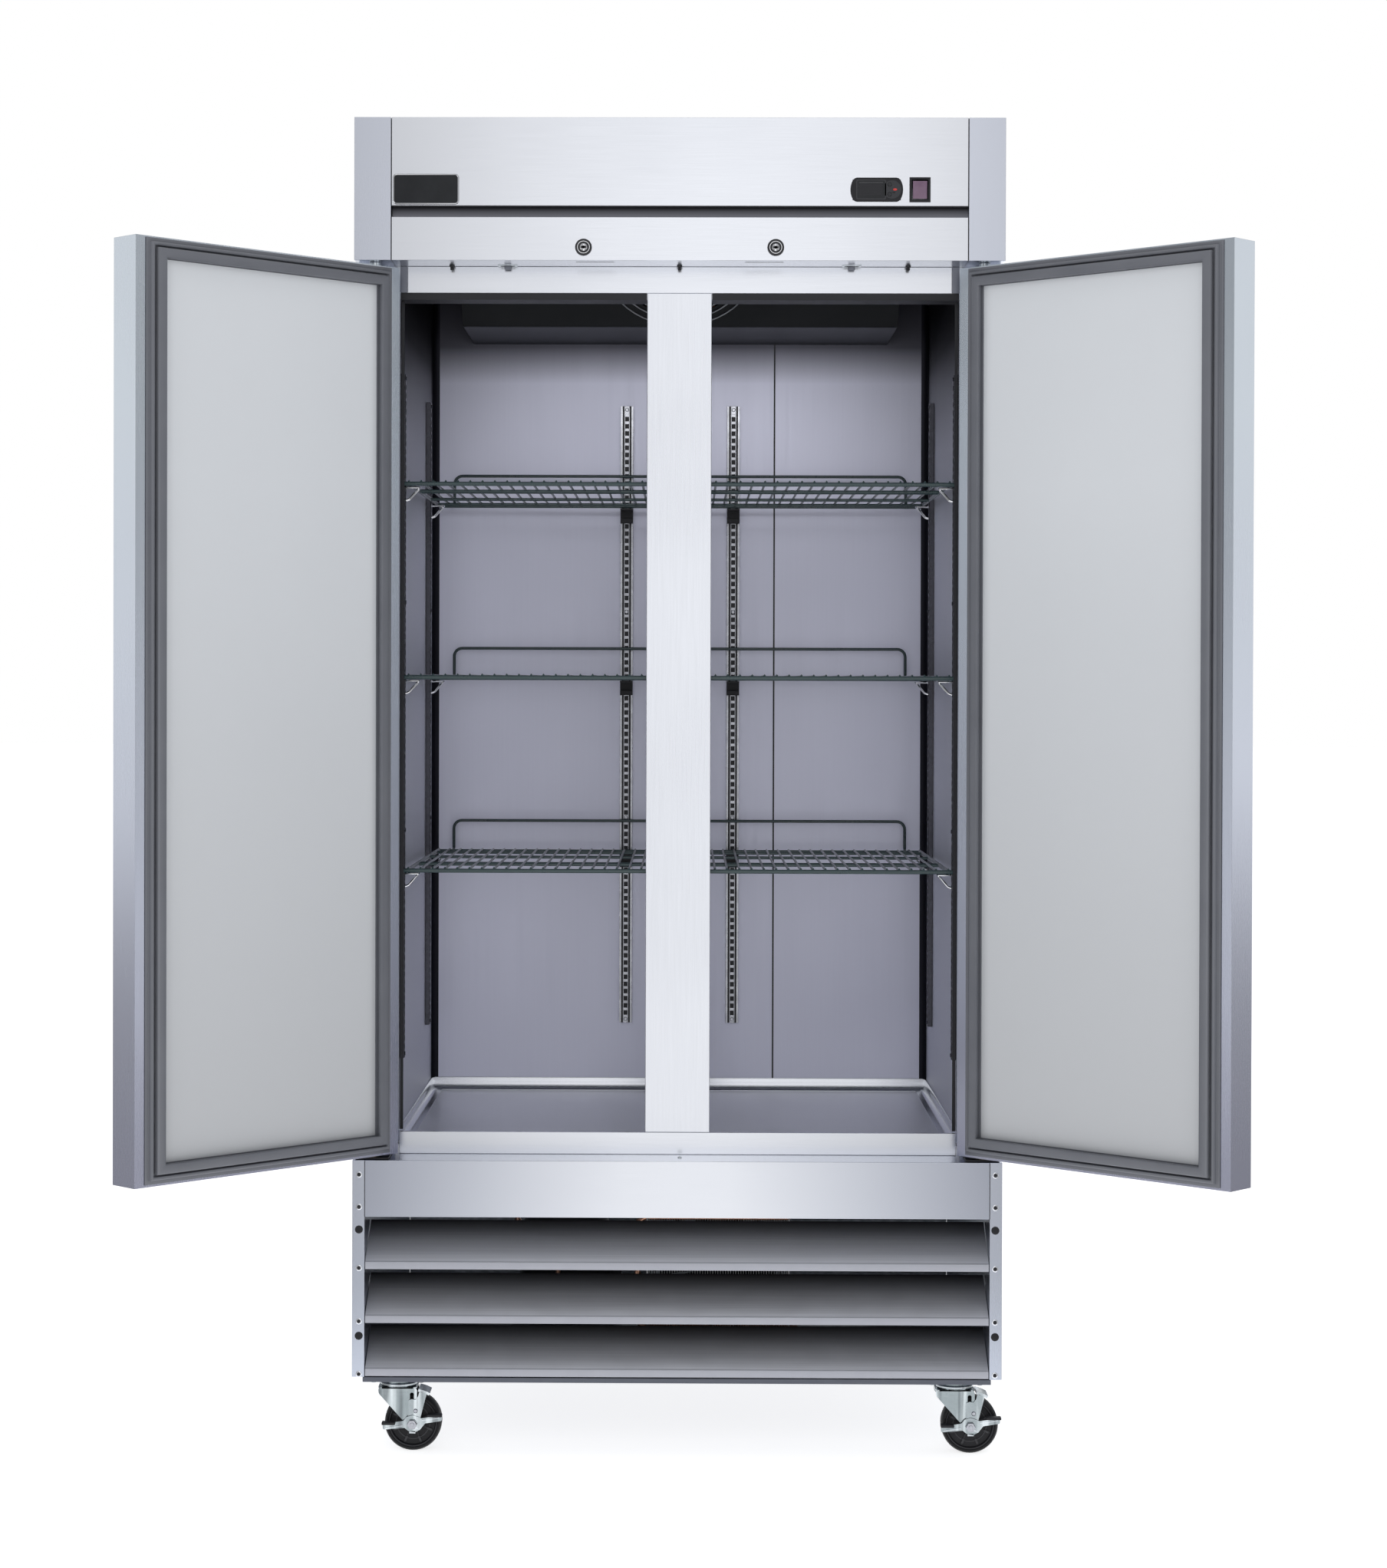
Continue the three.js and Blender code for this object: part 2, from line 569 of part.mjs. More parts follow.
for (const { name, s } of SIDES) {
  const wallFace = s * (INNER_X - GAP);
  const inner = s * (INNER_X - GAP - PILASTER_T);
  const half = PILASTER_W / 2;
  cabinet.add(
    pilaster(
      `${name}_front`, inner, wallFace, PILASTER_FRONT_Y - half, PILASTER_FRONT_Y + half, SIDE_PILASTER_SPAN,
    ),
    pilaster(
      `${name}_rear`, inner, wallFace, PILASTER_REAR_Y - half, PILASTER_REAR_Y + half, SIDE_PILASTER_SPAN,
    ),
    pilaster(
      `back_${name}`, s * PILASTER_BACK_X - half, s * PILASTER_BACK_X + half,
      INNER_BACK - GAP - PILASTER_T, INNER_BACK - GAP, BACK_PILASTER_SPAN,
    ),
  );
}

// ---- wire shelves ----
function shelf(top, name) {
  const inside = INNER_X - GAP - PILASTER_T - 3;
  const railTop = top - SHELF_WIRE + 1;
  const rails = [
    box(-SHELF_HALF, SHELF_HALF, SHELF_FRONT_Y, SHELF_FRONT_Y + SHELF_RAIL - 1, top - SHELF_RAIL, top - 1),
    box(-inside, inside, 330, 330 + SHELF_RAIL, railTop - SHELF_RAIL, railTop),
    box(-inside, inside, 560, 560 + SHELF_RAIL, railTop - SHELF_RAIL, railTop),
    box(-inside, inside, SHELF_BACK_Y - SHELF_RAIL, SHELF_BACK_Y, railTop - SHELF_RAIL, railTop),
  ];
  const stopHalf = 400;
  const stop = cut(
    box(-stopHalf, stopHalf, SHELF_BACK_Y - SHELF_WIRE, SHELF_BACK_Y, railTop - 1, top + BACKSTOP_HEIGHT),
    box(
      -stopHalf + SHELF_WIRE, stopHalf - SHELF_WIRE, SHELF_BACK_Y - 9, SHELF_BACK_Y + 9,
      railTop - 2, top + BACKSTOP_HEIGHT - SHELF_WIRE,
    ),
  );
  const wires = [];
  const pitch = (2 * inside - SHELF_WIRE) / (SHELF_CROSS_WIRES - 1);
  for (let i = 0; i < SHELF_CROSS_WIRES; i++) {
    const x = -inside + i * pitch;
    wires.push(box(x, x + SHELF_WIRE, SHELF_FRONT_Y + 2, SHELF_BACK_Y - 2, top - SHELF_WIRE, top));
  }
  return part(`shelf_${name}`, join(...rails, stop, ...wires), GREEN_EPOXY);
}

['upper', 'middle', 'lower'].forEach((name, i) => cabinet.add(shelf(SHELF_TOPS[i], name)));

// ---- doors, each built closed about its pivot and then swung open ----
function door({ name, s }) {
  const hand = -s; // +1 where the free edge points along +X
  const group = new THREE.Group();
  const half = DOOR_T / 2;
  const span = (u0, u1, y0, y1, z0, z1) => box(hand * u0, hand * u1, y0, y1, z0, z1);
  const left = -DOOR_HINGE_SIDE;
  const right = DOOR_FREE_SIDE;

  const pan = span(left, right, -half, half, DOOR_BOTTOM, DOOR_TOP);
  const hollow = span(
    left + SHEET, right - SHEET, -half + SHEET, half - SHEET, DOOR_BOTTOM + SHEET, DOOR_TOP - SHEET,
  );
  const mouth = span(
    left + DOOR_FLANGE, right - DOOR_FLANGE, 0, half + 1, DOOR_BOTTOM + DOOR_FLANGE, DOOR_TOP - DOOR_FLANGE,
  );
  const pocketShell = span(421, 459, -half, 8, 1000, 1300);
  const pocket = span(423, 457, -half - 1, 6, 1002, 1298);
  const lockSlot = span(312, 374, CAM_Y - PIVOT_Y - 3, CAM_Y + CAM_T - PIVOT_Y + 3, DOOR_TOP - 3, DOOR_TOP + 1);
  const pinHole = rod('z', 0, 0, DOOR_BOTTOM - 1, DOOR_TOP + 1, HINGE_PIN_R + 1, 24);
  const skin = cut(join(cut(pan, hollow, mouth), pocketShell), pocket, lockSlot, pinHole);
  group.add(part(`door_skin_${name}`, skin, STAINLESS));

  const linerGap = DOOR_FLANGE + GAP;
  const panel = span(
    left + linerGap, right - linerGap, half - 3, half, DOOR_BOTTOM + linerGap, DOOR_TOP - linerGap,
  );
  group.add(part(`door_liner_${name}`, panel, PALE_LINER));

  const g0 = left + GASKET_SIDE_INSET;
  const g1 = right - GASKET_SIDE_INSET;
  const low = DOOR_BOTTOM + GASKET_BOTTOM_INSET;
  const high = DOOR_TOP - GASKET_TOP_INSET;
  const w = GASKET_WIDTH;
  const ring = cut(
    span(g0, g1, half + GAP, half + GAP + GASKET_T, low, high),
    span(g0 + w, g1 - w, half, half + GASKET_T + 5, low + w, high - w),
  );
  group.add(part(`door_gasket_${name}`, ring, RUBBER));

  group.position.set(s * PIVOT_X, PIVOT_Y, 0);
  const open = s < 0 ? -DOOR_OPEN_LEFT : DOOR_OPEN_RIGHT;
  group.rotation.z = THREE.MathUtils.degToRad(open);
  return group;
}

cabinet.add(...SIDES.map(door));

function lowerHinge({ name, s }) {
  const x = s * PIVOT_X;
  const plate = box(x - 26, x + 26, PIVOT_Y - 22, PIVOT_Y + 34, BASE_TOP + GAP, BASE_TOP + 3);
  const pin = rod('z', x, PIVOT_Y, BASE_TOP + 2, DOOR_BOTTOM + 12, HINGE_PIN_R);
  return part(`hinge_bracket_${name}`, join(plate, pin), BLACK_PAINT);
}

cabinet.add(...SIDES.map(lowerHinge));

// ---- casters ----
function casterFork(name, x, y) {
  const inner = WHEEL_W / 2 + 3;
  const outer = inner + FORK_T;
  const axleX = CASTER_TRAIL;
  const leg = [
    [-FORK_REACH, FORK_CROWN_Z + 3], [-FORK_REACH + 4, FORK_CROWN_Z - 8], [axleX - 10, WHEEL_R - 4],
    [axleX, WHEEL_R - 10], [axleX + 8, WHEEL_R - 4], [axleX + 8, FORK_CROWN_Z + 3],
  ];
  const solid = join(
    prism('y', leg, -outer, -inner),
    prism('y', leg, inner, outer),
    box(-FORK_REACH, axleX + 8, -outer, outer, FORK_CROWN_Z, FORK_CROWN_Z + 3),
    rod('z', 0, 0, FORK_CROWN_Z + 2, RACE_TOP, 26),
    rod('y', axleX, WHEEL_R, -outer - 4, outer + 4, AXLE_R, 16),
  );
  const mesh = part(`caster_fork_${name}`, solid, ZINC);
  mesh.position.set(x, y, 0);
  return mesh;
}

function casterWheel(name, x, y) {
  const half = WHEEL_W / 2;
  const hub = half + 2;
  const bore = AXLE_R + 0.6;
  const solid = lathe([
    [bore, -hub], [14, -hub], [16, -half + 4], [34, -half + 4], [38, -half], [WHEEL_R - 3, -half],
    [WHEEL_R, -half + 4], [WHEEL_R, half - 4], [WHEEL_R - 3, half], [38, half], [34, half - 4],
    [16, half - 4], [14, hub], [bore, hub], [bore, -hub],
  ], 24);
  const mesh = part(`caster_wheel_${name}`, solid, BLACK_RUBBER);
  mesh.position.set(x + CASTER_TRAIL, y, WHEEL_R);
  return mesh;
}

// A rocker plate round the axle, outside the fork, with a tread at the end of each arm.
function brakePedal(name, x, y) {
  const forkFace = -(WHEEL_W / 2 + 3 + FORK_T);
  const back = forkFace - GAP;
  const front = back - PEDAL_T;
  const arms = [
    [-PEDAL_REACH, -9], [-PEDAL_REACH, 0], [-10, 7], [10, 11], [PEDAL_REACH, 13], [PEDAL_REACH, 6], [13, 0], [8, -11],
    [-10, -9],
  ];
  const plate = join(prism('y', arms, front, back), rod('y', 0, 0, front, back, 13, 24));
  const treads = join(
    box(-PEDAL_REACH, -PEDAL_REACH + 18, front - 12, back, -1, 2),
    box(PEDAL_REACH - 20, PEDAL_REACH, front - 12, back, 11, 14),
  );
  const bore = rod('y', 0, 0, front - 1, back + 1, AXLE_R + 0.6, 16);
  const mesh = part(`caster_brake_${name}`, cut(join(plate, treads), bore), ZINC);
  mesh.position.set(x + CASTER_TRAIL, y, WHEEL_R);
  return mesh;
}

for (const { name, s } of SIDES) {
  for (const [row, y] of [['front', CASTER_Y], ['rear', DEPTH - CASTER_Y]]) {
    const label = `${row}_${name}`;
    const x = s * CASTER_X;
    cabinet.add(casterFork(label, x, y), casterWheel(label, x, y));
    if (row === 'front') cabinet.add(brakePedal(name, x, y));
  }
}

const refrigerator = new THREE.Group();
refrigerator.add(cabinet);
export default refrigerator;
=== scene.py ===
import bpy
import bmesh
import json
import math
from mathutils import Matrix, Vector
from mathutils.geometry import tessellate_polygon

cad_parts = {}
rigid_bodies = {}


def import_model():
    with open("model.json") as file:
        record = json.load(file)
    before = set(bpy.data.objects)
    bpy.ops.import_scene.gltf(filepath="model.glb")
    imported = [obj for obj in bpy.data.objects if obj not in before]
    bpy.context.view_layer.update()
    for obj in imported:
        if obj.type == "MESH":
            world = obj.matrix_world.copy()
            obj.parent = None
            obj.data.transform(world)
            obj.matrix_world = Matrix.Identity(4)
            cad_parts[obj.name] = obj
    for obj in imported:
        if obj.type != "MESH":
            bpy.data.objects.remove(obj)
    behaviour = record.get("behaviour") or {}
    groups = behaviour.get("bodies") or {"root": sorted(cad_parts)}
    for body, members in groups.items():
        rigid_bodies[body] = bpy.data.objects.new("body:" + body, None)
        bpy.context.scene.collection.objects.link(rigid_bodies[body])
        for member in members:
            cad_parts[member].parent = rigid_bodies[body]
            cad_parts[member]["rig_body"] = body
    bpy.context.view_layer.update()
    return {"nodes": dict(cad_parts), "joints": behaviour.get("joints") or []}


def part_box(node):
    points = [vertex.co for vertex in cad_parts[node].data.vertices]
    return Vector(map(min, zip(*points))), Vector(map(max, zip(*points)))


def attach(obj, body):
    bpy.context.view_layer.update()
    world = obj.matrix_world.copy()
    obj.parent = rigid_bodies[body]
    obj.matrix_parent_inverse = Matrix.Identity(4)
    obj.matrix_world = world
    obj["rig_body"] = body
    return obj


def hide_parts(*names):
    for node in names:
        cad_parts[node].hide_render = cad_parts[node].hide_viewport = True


# The look of a two-door reach-in refrigerator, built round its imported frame.
# Shapes are written in millimetres in the cabinet's own frame: y = 0 is the front plane of the header.
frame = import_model()

MM = 0.001
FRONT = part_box("header_panel")[0].y
CABINET = Matrix.Translation((0, FRONT, 0)) @ Matrix.Scale(MM, 4)
SIDES = (("left", -1), ("right", 1))
JOINTS = {joint["name"]: joint for joint in frame["joints"]}

# ---- camera ----
CAMERA_PLACE = (0.014, -4.995, 1.192)
CAMERA_PITCH = -0.44
CAMERA_YAW = 0.54
CAMERA_ROLL = 0.16

camera_data = bpy.data.cameras.new("camera")
camera_data.lens = 71.0
camera_data.shift_x = 0.0225
camera_data.shift_y = -0.0454
camera = bpy.data.objects.new("camera", camera_data)
camera.matrix_world = (
    Matrix.Translation(CAMERA_PLACE)
    @ Matrix.Rotation(math.radians(CAMERA_YAW), 4, "Z")
    @ Matrix.Rotation(math.radians(90 + CAMERA_PITCH), 4, "X")
    @ Matrix.Rotation(math.radians(CAMERA_ROLL), 4, "Z")
)
bpy.context.scene.collection.objects.link(camera)
bpy.context.scene.camera = camera


# ---- light and background ----
def softbox(name, place, aim, width, height, radiance):
    """A large soft area light that looks at a point and doesn't show itself."""
    data = bpy.data.lights.new(name, "AREA")
    data.shape = "RECTANGLE"
    data.size, data.size_y, data.energy = width, height, radiance * math.pi * width * height
    lamp = bpy.data.objects.new(name, data)
    lamp.location = place
    lamp.rotation_mode = "QUATERNION"
    lamp.rotation_quaternion = (Vector(aim) - Vector(place)).to_track_quat("-Z", "Y")
    lamp.visible_camera = False
    bpy.context.scene.collection.objects.link(lamp)
    return lamp


softbox("key", (-0.4, -5.6, 3.4), (0, 0, 1.1), 3.0, 2.2, 2.2).visible_glossy = False
softbox("overhead", (0, 0.2, 4.6), (0, 0, 1), 4.5, 4.5, 0.5)
softbox("rear", (0.8, 5.4, 2.4), (0, 0, 1), 2.2, 3.4, 0.8)
for side, s in SIDES:
    softbox(f"side_{side}", (s * 5.0, 0.4, 2.2), (0, 0, 1), 2.4, 3.4, 0.5)
inside = softbox("inside", (0, FRONT + 0.2, 1.76), (0, FRONT + 0.735, 1.56), 0.7, 0.12, 0.65)
inside.data.spread = math.radians(100)

world = bpy.data.worlds.new("studio")
world.use_nodes = True
bpy.context.scene.world = world
sky = world.node_tree
backdrop = sky.nodes["Background"]
backdrop.inputs["Color"].default_value = (1, 1, 1, 1)
backdrop.inputs["Strength"].default_value = 1.0
room = sky.nodes.new("ShaderNodeBackground")
room.inputs["Color"].default_value = (0.94, 0.97, 1.0, 1)
room.inputs["Strength"].default_value = 0.40
seen = sky.nodes.new("ShaderNodeLightPath")
either = sky.nodes.new("ShaderNodeMixShader")
sky.links.new(seen.outputs["Is Camera Ray"], either.inputs[0])
sky.links.new(room.outputs[0], either.inputs[1])
sky.links.new(backdrop.outputs[0], either.inputs[2])
sky.links.new(either.outputs[0], sky.nodes["World Output"].inputs["Surface"])
bpy.context.scene.view_settings.view_transform = "Standard"


def reflector(name, corners, bright, dim, middle, reach):
    """A studio card that only reflections see: bright in the middle, falling off along x within reach."""
    mesh = bpy.data.meshes.new(name)
    mesh.from_pydata(corners, [], [(0, 1, 2, 3)])
    card = bpy.data.objects.new(name, mesh)
    bpy.context.scene.collection.objects.link(card)
    glow = bpy.data.materials.new(name)
    glow.use_nodes = True
    tree = glow.node_tree
    tree.nodes.clear()
    place = tree.nodes.new("ShaderNodeTexCoord")
    split = tree.nodes.new("ShaderNodeSeparateXYZ")
    away = tree.nodes.new("ShaderNodeMath")
    away.operation = "SUBTRACT"
    away.inputs[1].default_value = middle
    size = tree.nodes.new("ShaderNodeMath")
    size.operation = "ABSOLUTE"
    fall = tree.nodes.new("ShaderNodeMapRange")
    fall.interpolation_type = "SMOOTHERSTEP"
    for socket, number in (("From Max", reach), ("To Min", bright), ("To Max", dim)):
        fall.inputs[socket].default_value = number
    light = tree.nodes.new("ShaderNodeEmission")
    out = tree.nodes.new("ShaderNodeOutputMaterial")
    tree.links.new(place.outputs["Object"], split.inputs[0])
    tree.links.new(split.outputs[0], away.inputs[0])
    tree.links.new(away.outputs[0], size.inputs[0])
    tree.links.new(size.outputs[0], fall.inputs[0])
    tree.links.new(fall.outputs[0], light.inputs["Strength"])
    tree.links.new(light.outputs[0], out.inputs[0])
    mesh.materials.append(glow)
    card.visible_camera = card.visible_diffuse = card.visible_shadow = card.visible_transmission = False


CARD_Z = 0.03  # the lying cards float just above the floor
reflector("card_front", [(-6, -6.2, 0), (6, -6.2, 0), (6, -6.2, 7), (-6, -6.2, 7)], 1.25, 0.42, 0.12, 2.0)
reflector("card_low", [(-3, -6.1, CARD_Z), (3, -6.1, CARD_Z), (3, -0.95, CARD_Z), (-3, -0.95, CARD_Z)],
          1.10, 0.30, 0.0, 1.15)
for side, s in SIDES:
    near, far = s * 0.7, s * 30
    corners = [(near, -0.9, CARD_Z), (far, -0.9, CARD_Z), (far, 5, CARD_Z), (near, 5, CARD_Z)]
    reflector(f"card_{side}", corners, 0.40, 0.40, 0, 1)


# ---- finishes ----
class Finish:
    """A material whose colour, roughness and bump come from noise in the piece's own coordinates."""

    def __init__(self, name, colour, rough, metallic=0.0):
        self.material = bpy.data.materials.new(name)
        self.material.use_nodes = True
        self.tree = self.material.node_tree
        self.shader = self.tree.nodes["Principled BSDF"]
        self.shader.inputs["Metallic"].default_value = metallic
        self.shader.inputs["Roughness"].default_value = rough
        self.shader.inputs["Base Color"].default_value = (*colour, 1)
        self.colour, self.rough = colour, rough
        self.tone, self.level, self.normal = None, None, None
        self.place = self.node("ShaderNodeTexCoord").outputs["Object"]

    def node(self, kind, **inputs):
        """A new shader node with the named inputs set or linked."""
        made = self.tree.nodes.new(kind)
        for name, value in inputs.items():
            self.feed(value, made.inputs[name.replace("_", " ")])
        return made

    def feed(self, value, socket):
        """Links another node's output to the socket, or sets a plain value."""
        if isinstance(value, bpy.types.NodeSocket):
            self.tree.links.new(value, socket)
        else:
            socket.default_value = value

    def noise(self, scale, detail=3.0, roughness=0.55):
        """Noise whose scale is per metre, one number or one for each axis."""
        if not isinstance(scale, tuple):
            scale = (scale,) * 3
        spread = self.node("ShaderNodeMapping", Vector=self.place, Scale=scale)
        made = self.node("ShaderNodeTexNoise", Vector=spread.outputs[0], Detail=detail, Roughness=roughness)
        made.inputs["Scale"].default_value = 1.0
        return made.outputs["Fac"]

    def coordinate(self, axis):
        """The position along an axis in metres, in the piece's own coordinates at rest."""
        return self.node("ShaderNodeSeparateXYZ", Vector=self.place).outputs["XYZ".index(axis)]

    def distance(self, axis):
        """How far the position is from the middle plane across an axis."""
        made = self.node("ShaderNodeMath")
        made.operation = "ABSOLUTE"
        self.feed(self.coordinate(axis), made.inputs[0])
        return made.outputs[0]

    def between(self, value, low, high, start=0.3, end=0.7):
        """The value moved from start..end to low..high."""
        made = self.node("ShaderNodeMapRange", Value=value)
        for name, number in (("From Min", start), ("From Max", end), ("To Min", low), ("To Max", high)):
            made.inputs[name].default_value = number
        return made.outputs[0]

    def tint(self, value, colour, low=0.0, high=1.0, start=0.3, end=0.7):
        """Mixes the colour so far towards another one by the value."""
        made = self.node("ShaderNodeMix")
        made.data_type = "RGBA"
        self.feed(self.between(value, low, high, start, end), made.inputs["Factor"])
        self.feed(self.tone or (*self.colour, 1), made.inputs[6])
        made.inputs[7].default_value = (*colour, 1)
        self.tone = made.outputs[2]
        self.tree.links.new(self.tone, self.shader.inputs["Base Color"])
        return self

    def roughen(self, value, spread, start=0.3, end=0.7):
        """Adds -spread..+spread to the roughness by the value."""
        added = self.node("ShaderNodeMath")
        self.feed(self.level or self.rough, added.inputs[0])
        self.feed(self.between(value, -spread, spread, start, end), added.inputs[1])
        self.level = added.outputs[0]
        self.tree.links.new(self.level, self.shader.inputs["Roughness"])
        return self

    def emboss(self, value, strength, depth):
        """Adds a bump of that depth in metres."""
        made = self.node("ShaderNodeBump", Height=value, Strength=strength, Distance=depth)
        if self.normal:
            self.tree.links.new(self.normal, made.inputs["Normal"])
        self.normal = made.outputs[0]
        self.tree.links.new(self.normal, self.shader.inputs["Normal"])
        return self

    def worn(self, colour, amount=0.5):
        """Brighter or darker edges, where use rubs the surface."""
        edges = self.node("ShaderNodeNewGeometry").outputs["Pointiness"]
        return self.tint(edges, colour, 0, amount, 0.51, 0.6)

    def setting(self, **values):
        """Sets constant values on the shader's own sockets."""
        for name, value in values.items():
            self.shader.inputs[name.replace("_", " ")].default_value = value
        return self


def brushed(name, colour, streak, rough, along, grain=900, streaks=70):
    """Sheet metal brushed along one axis, with fine grain, wider streaks and slow clouds."""
    look = Finish(name, colour, rough, 1.0)
    stretch = {"x": (0.012, 1, 1), "y": (1, 0.012, 1), "z": (1, 1, 0.012)}[along]
    fine = look.noise(tuple(grain * part for part in stretch), 4.0, 0.6)
    wide = look.noise(tuple(streaks * part for part in stretch), 3.0)
    clouds = look.noise(2.2, 2.0)
    look.tint(wide, streak, 0.0, 0.04).tint(fine, streak, 0.0, 0.10).tint(clouds, streak, 0.0, 0.2)
    look.roughen(fine, 0.015).roughen(clouds, 0.02)
    return look.emboss(fine, 0.012, 0.0001)


def painted(name, colour, rough, lighter, grain=700, depth=0.0001, clouds=6):
    """Paint or moulded plastic with a fine orange-peel or spark texture."""
    look = Finish(name, colour, rough)
    fine = look.noise(grain, 3.0)
    slow = look.noise(clouds, 3.0)
    look.tint(slow, lighter, 0.0, 0.45).roughen(slow, 0.06).roughen(fine, 0.05)
    look.emboss(fine, 0.35, depth)
    return look.worn(lighter, 0.7)


def mottled(name, colour, rough, metallic, patches, darker, amount, grain, spread):
    """Bare or plated metal with patches of a darker colour and slight changes of roughness."""
    look = Finish(name, colour, rough, metallic)
    return look.tint(look.noise(patches), darker, 0, amount).roughen(look.noise(grain), spread)


STEEL_PALE = (0.79, 0.81, 0.865)
STEEL_STREAK = (0.66, 0.69, 0.75)
BRUSHED_X = brushed("stainless_brushed_along", STEEL_PALE, STEEL_STREAK, 0.24, "x")
BRUSHED_Y = brushed("stainless_brushed_deep", STEEL_PALE, STEEL_STREAK, 0.26, "y")
BRUSHED_Z = brushed("stainless_brushed_upright", STEEL_PALE, STEEL_STREAK, 0.26, "z")
LINER = brushed("liner_mill_aluminium", (0.73, 0.74, 0.88), (0.66, 0.67, 0.80), 0.5, "z", 300, 12)
# The back wall's liner darkens to near-black towards the top, under the evaporator cover: painted shade.
LINER.tint(LINER.coordinate("Z"), (0.13, 0.13, 0.16), 0, 1, 1.735, 1.80)
LINER.tint(LINER.coordinate("Z"), (0.03, 0.03, 0.04), 0, 1, 1.80, 1.95)
# A darker copy of the stainless for the side panels, darkening further towards the bottom: painted shade.
SIDE_STEEL = brushed("stainless_side_panel", (0.67, 0.70, 0.79), (0.61, 0.64, 0.73), 0.26, "z")
SIDE_STEEL.tint(SIDE_STEEL.coordinate("Z"), (0.52, 0.56, 0.65), 1, 0, 0.1, 0.6)
# The door skins' copy of the stainless darkens towards the bottom: painted shade.
DOOR_STEEL = brushed("stainless_door_skin", (0.68, 0.73, 0.79), (0.62, 0.67, 0.73), 0.26, "z")
DOOR_STEEL.tint(DOOR_STEEL.coordinate("Z"), (0.46, 0.47, 0.58), 1, 0, 0.5, 1.6)
BASE_STEEL = brushed("stainless_base_panel", STEEL_PALE, STEEL_STREAK, 0.24, "x")
# The base panel darkens towards its ends: painted shade.
BASE_STEEL.tint(BASE_STEEL.distance("X"), (0.54, 0.57, 0.66), 0, 1, 0.08, 0.48)
# The side walls' copy of the liner darkens to near-black towards the top: painted shade.
LINER_SIDE = brushed("liner_side_aluminium", (0.90, 0.91, 0.98), (0.82, 0.83, 0.92), 0.5, "z", 300, 12)
LINER_SIDE.tint(LINER_SIDE.coordinate("Z"), (0.03, 0.03, 0.035), 0, 1, 1.50, 1.76)
# A near-black copy of the liner for the back corners' fillets: painted shade.
LINER_CORNER_SHADE = brushed("liner_corner_painted_shade", (0.03, 0.03, 0.04), (0.02, 0.02, 0.025), 0.5, "z", 300, 12)
LOUVRE_DEPTH = 0.092  # how far back daylight reaches along a blade
LOUVRE = Finish("louvre_sheet", (0.82, 0.83, 0.89), 0.5, 0.5)
LOUVRE.tint(LOUVRE.noise((4, 700, 700)), (0.54, 0.55, 0.60), 0, 0.4).roughen(LOUVRE.noise(30), 0.06)
# The front lip is a little darker than the blade behind it, and the blade darkens to near-black with depth:
# both painted shade.
LOUVRE.tint(LOUVRE.coordinate("Y"), (0.44, 0.45, 0.50), 1, 0, FRONT + 0.0008, FRONT + 0.0032)
LOUVRE.tint(LOUVRE.coordinate("Y"), (0.012, 0.012, 0.014), 0, 1, FRONT + 0.002, FRONT + LOUVRE_DEPTH)
LOUVRE.emboss(LOUVRE.noise((40, 900, 900)), 0.1, 0.0001)
# A dark copy of the galvanised sheet for the deck tray under the cabinet: painted shade.
DECK_SHADE = mottled("deck_sheet_painted_shade", (0.13, 0.14, 0.17), 0.5, 0.4, (8, 400, 400), (0.10, 0.11, 0.14), 0.6,
                     40, 0.06)
# A dark copy of the stainless for the header recess's back, darkening to black at the top: painted shade.
GROOVE_SHADE = brushed("groove_painted_shade", (0.24, 0.245, 0.28), (0.19, 0.195, 0.22), 0.45, "x")
GROOVE_SHADE.tint(GROOVE_SHADE.coordinate("Z"), (0.008, 0.008, 0.010), 0, 1, 1.920, 1.936)
# A dark copy of the stainless for the doorway jambs and the switch tongues: painted shade.
SHADED_STEEL = brushed("stainless_painted_shade", (0.24, 0.25, 0.29), (0.19, 0.20, 0.23), 0.4, "z")
# A near-black copy of the liner aluminium for the pan under the evaporator cover: painted shade.
PAN_SHADE = brushed("evaporator_pan_painted_shade", (0.065, 0.068, 0.08), (0.05, 0.053, 0.065), 0.5, "x", 300, 12)
LINER_FLOOR = brushed("liner_floor_aluminium", (0.95, 0.96, 0.99), (0.88, 0.89, 0.94), 0.42, "y", 300, 12)

GALVANISED = Finish("galvanised_sheet", (0.50, 0.53, 0.57), 0.45, 1.0)
spangle = GALVANISED.node("ShaderNodeTexVoronoi", Vector=GALVANISED.place, Scale=90.0).outputs["Distance"]
GALVANISED.tint(spangle, (0.38, 0.41, 0.45), 0, 0.6, 0.1, 0.7).roughen(spangle, 0.1, 0.1, 0.7)
GALVANISED.emboss(GALVANISED.noise(160), 0.1, 0.0002)

FINS = mottled("coil_fin_aluminium", (0.56, 0.57, 0.58), 0.42, 1.0, 40, (0.34, 0.34, 0.34), 0.7, 300, 0.1)
COPPER = mottled("copper_tube", (0.72, 0.40, 0.26), 0.3, 1.0, 50, (0.42, 0.22, 0.15), 0.8, 90, 0.12)

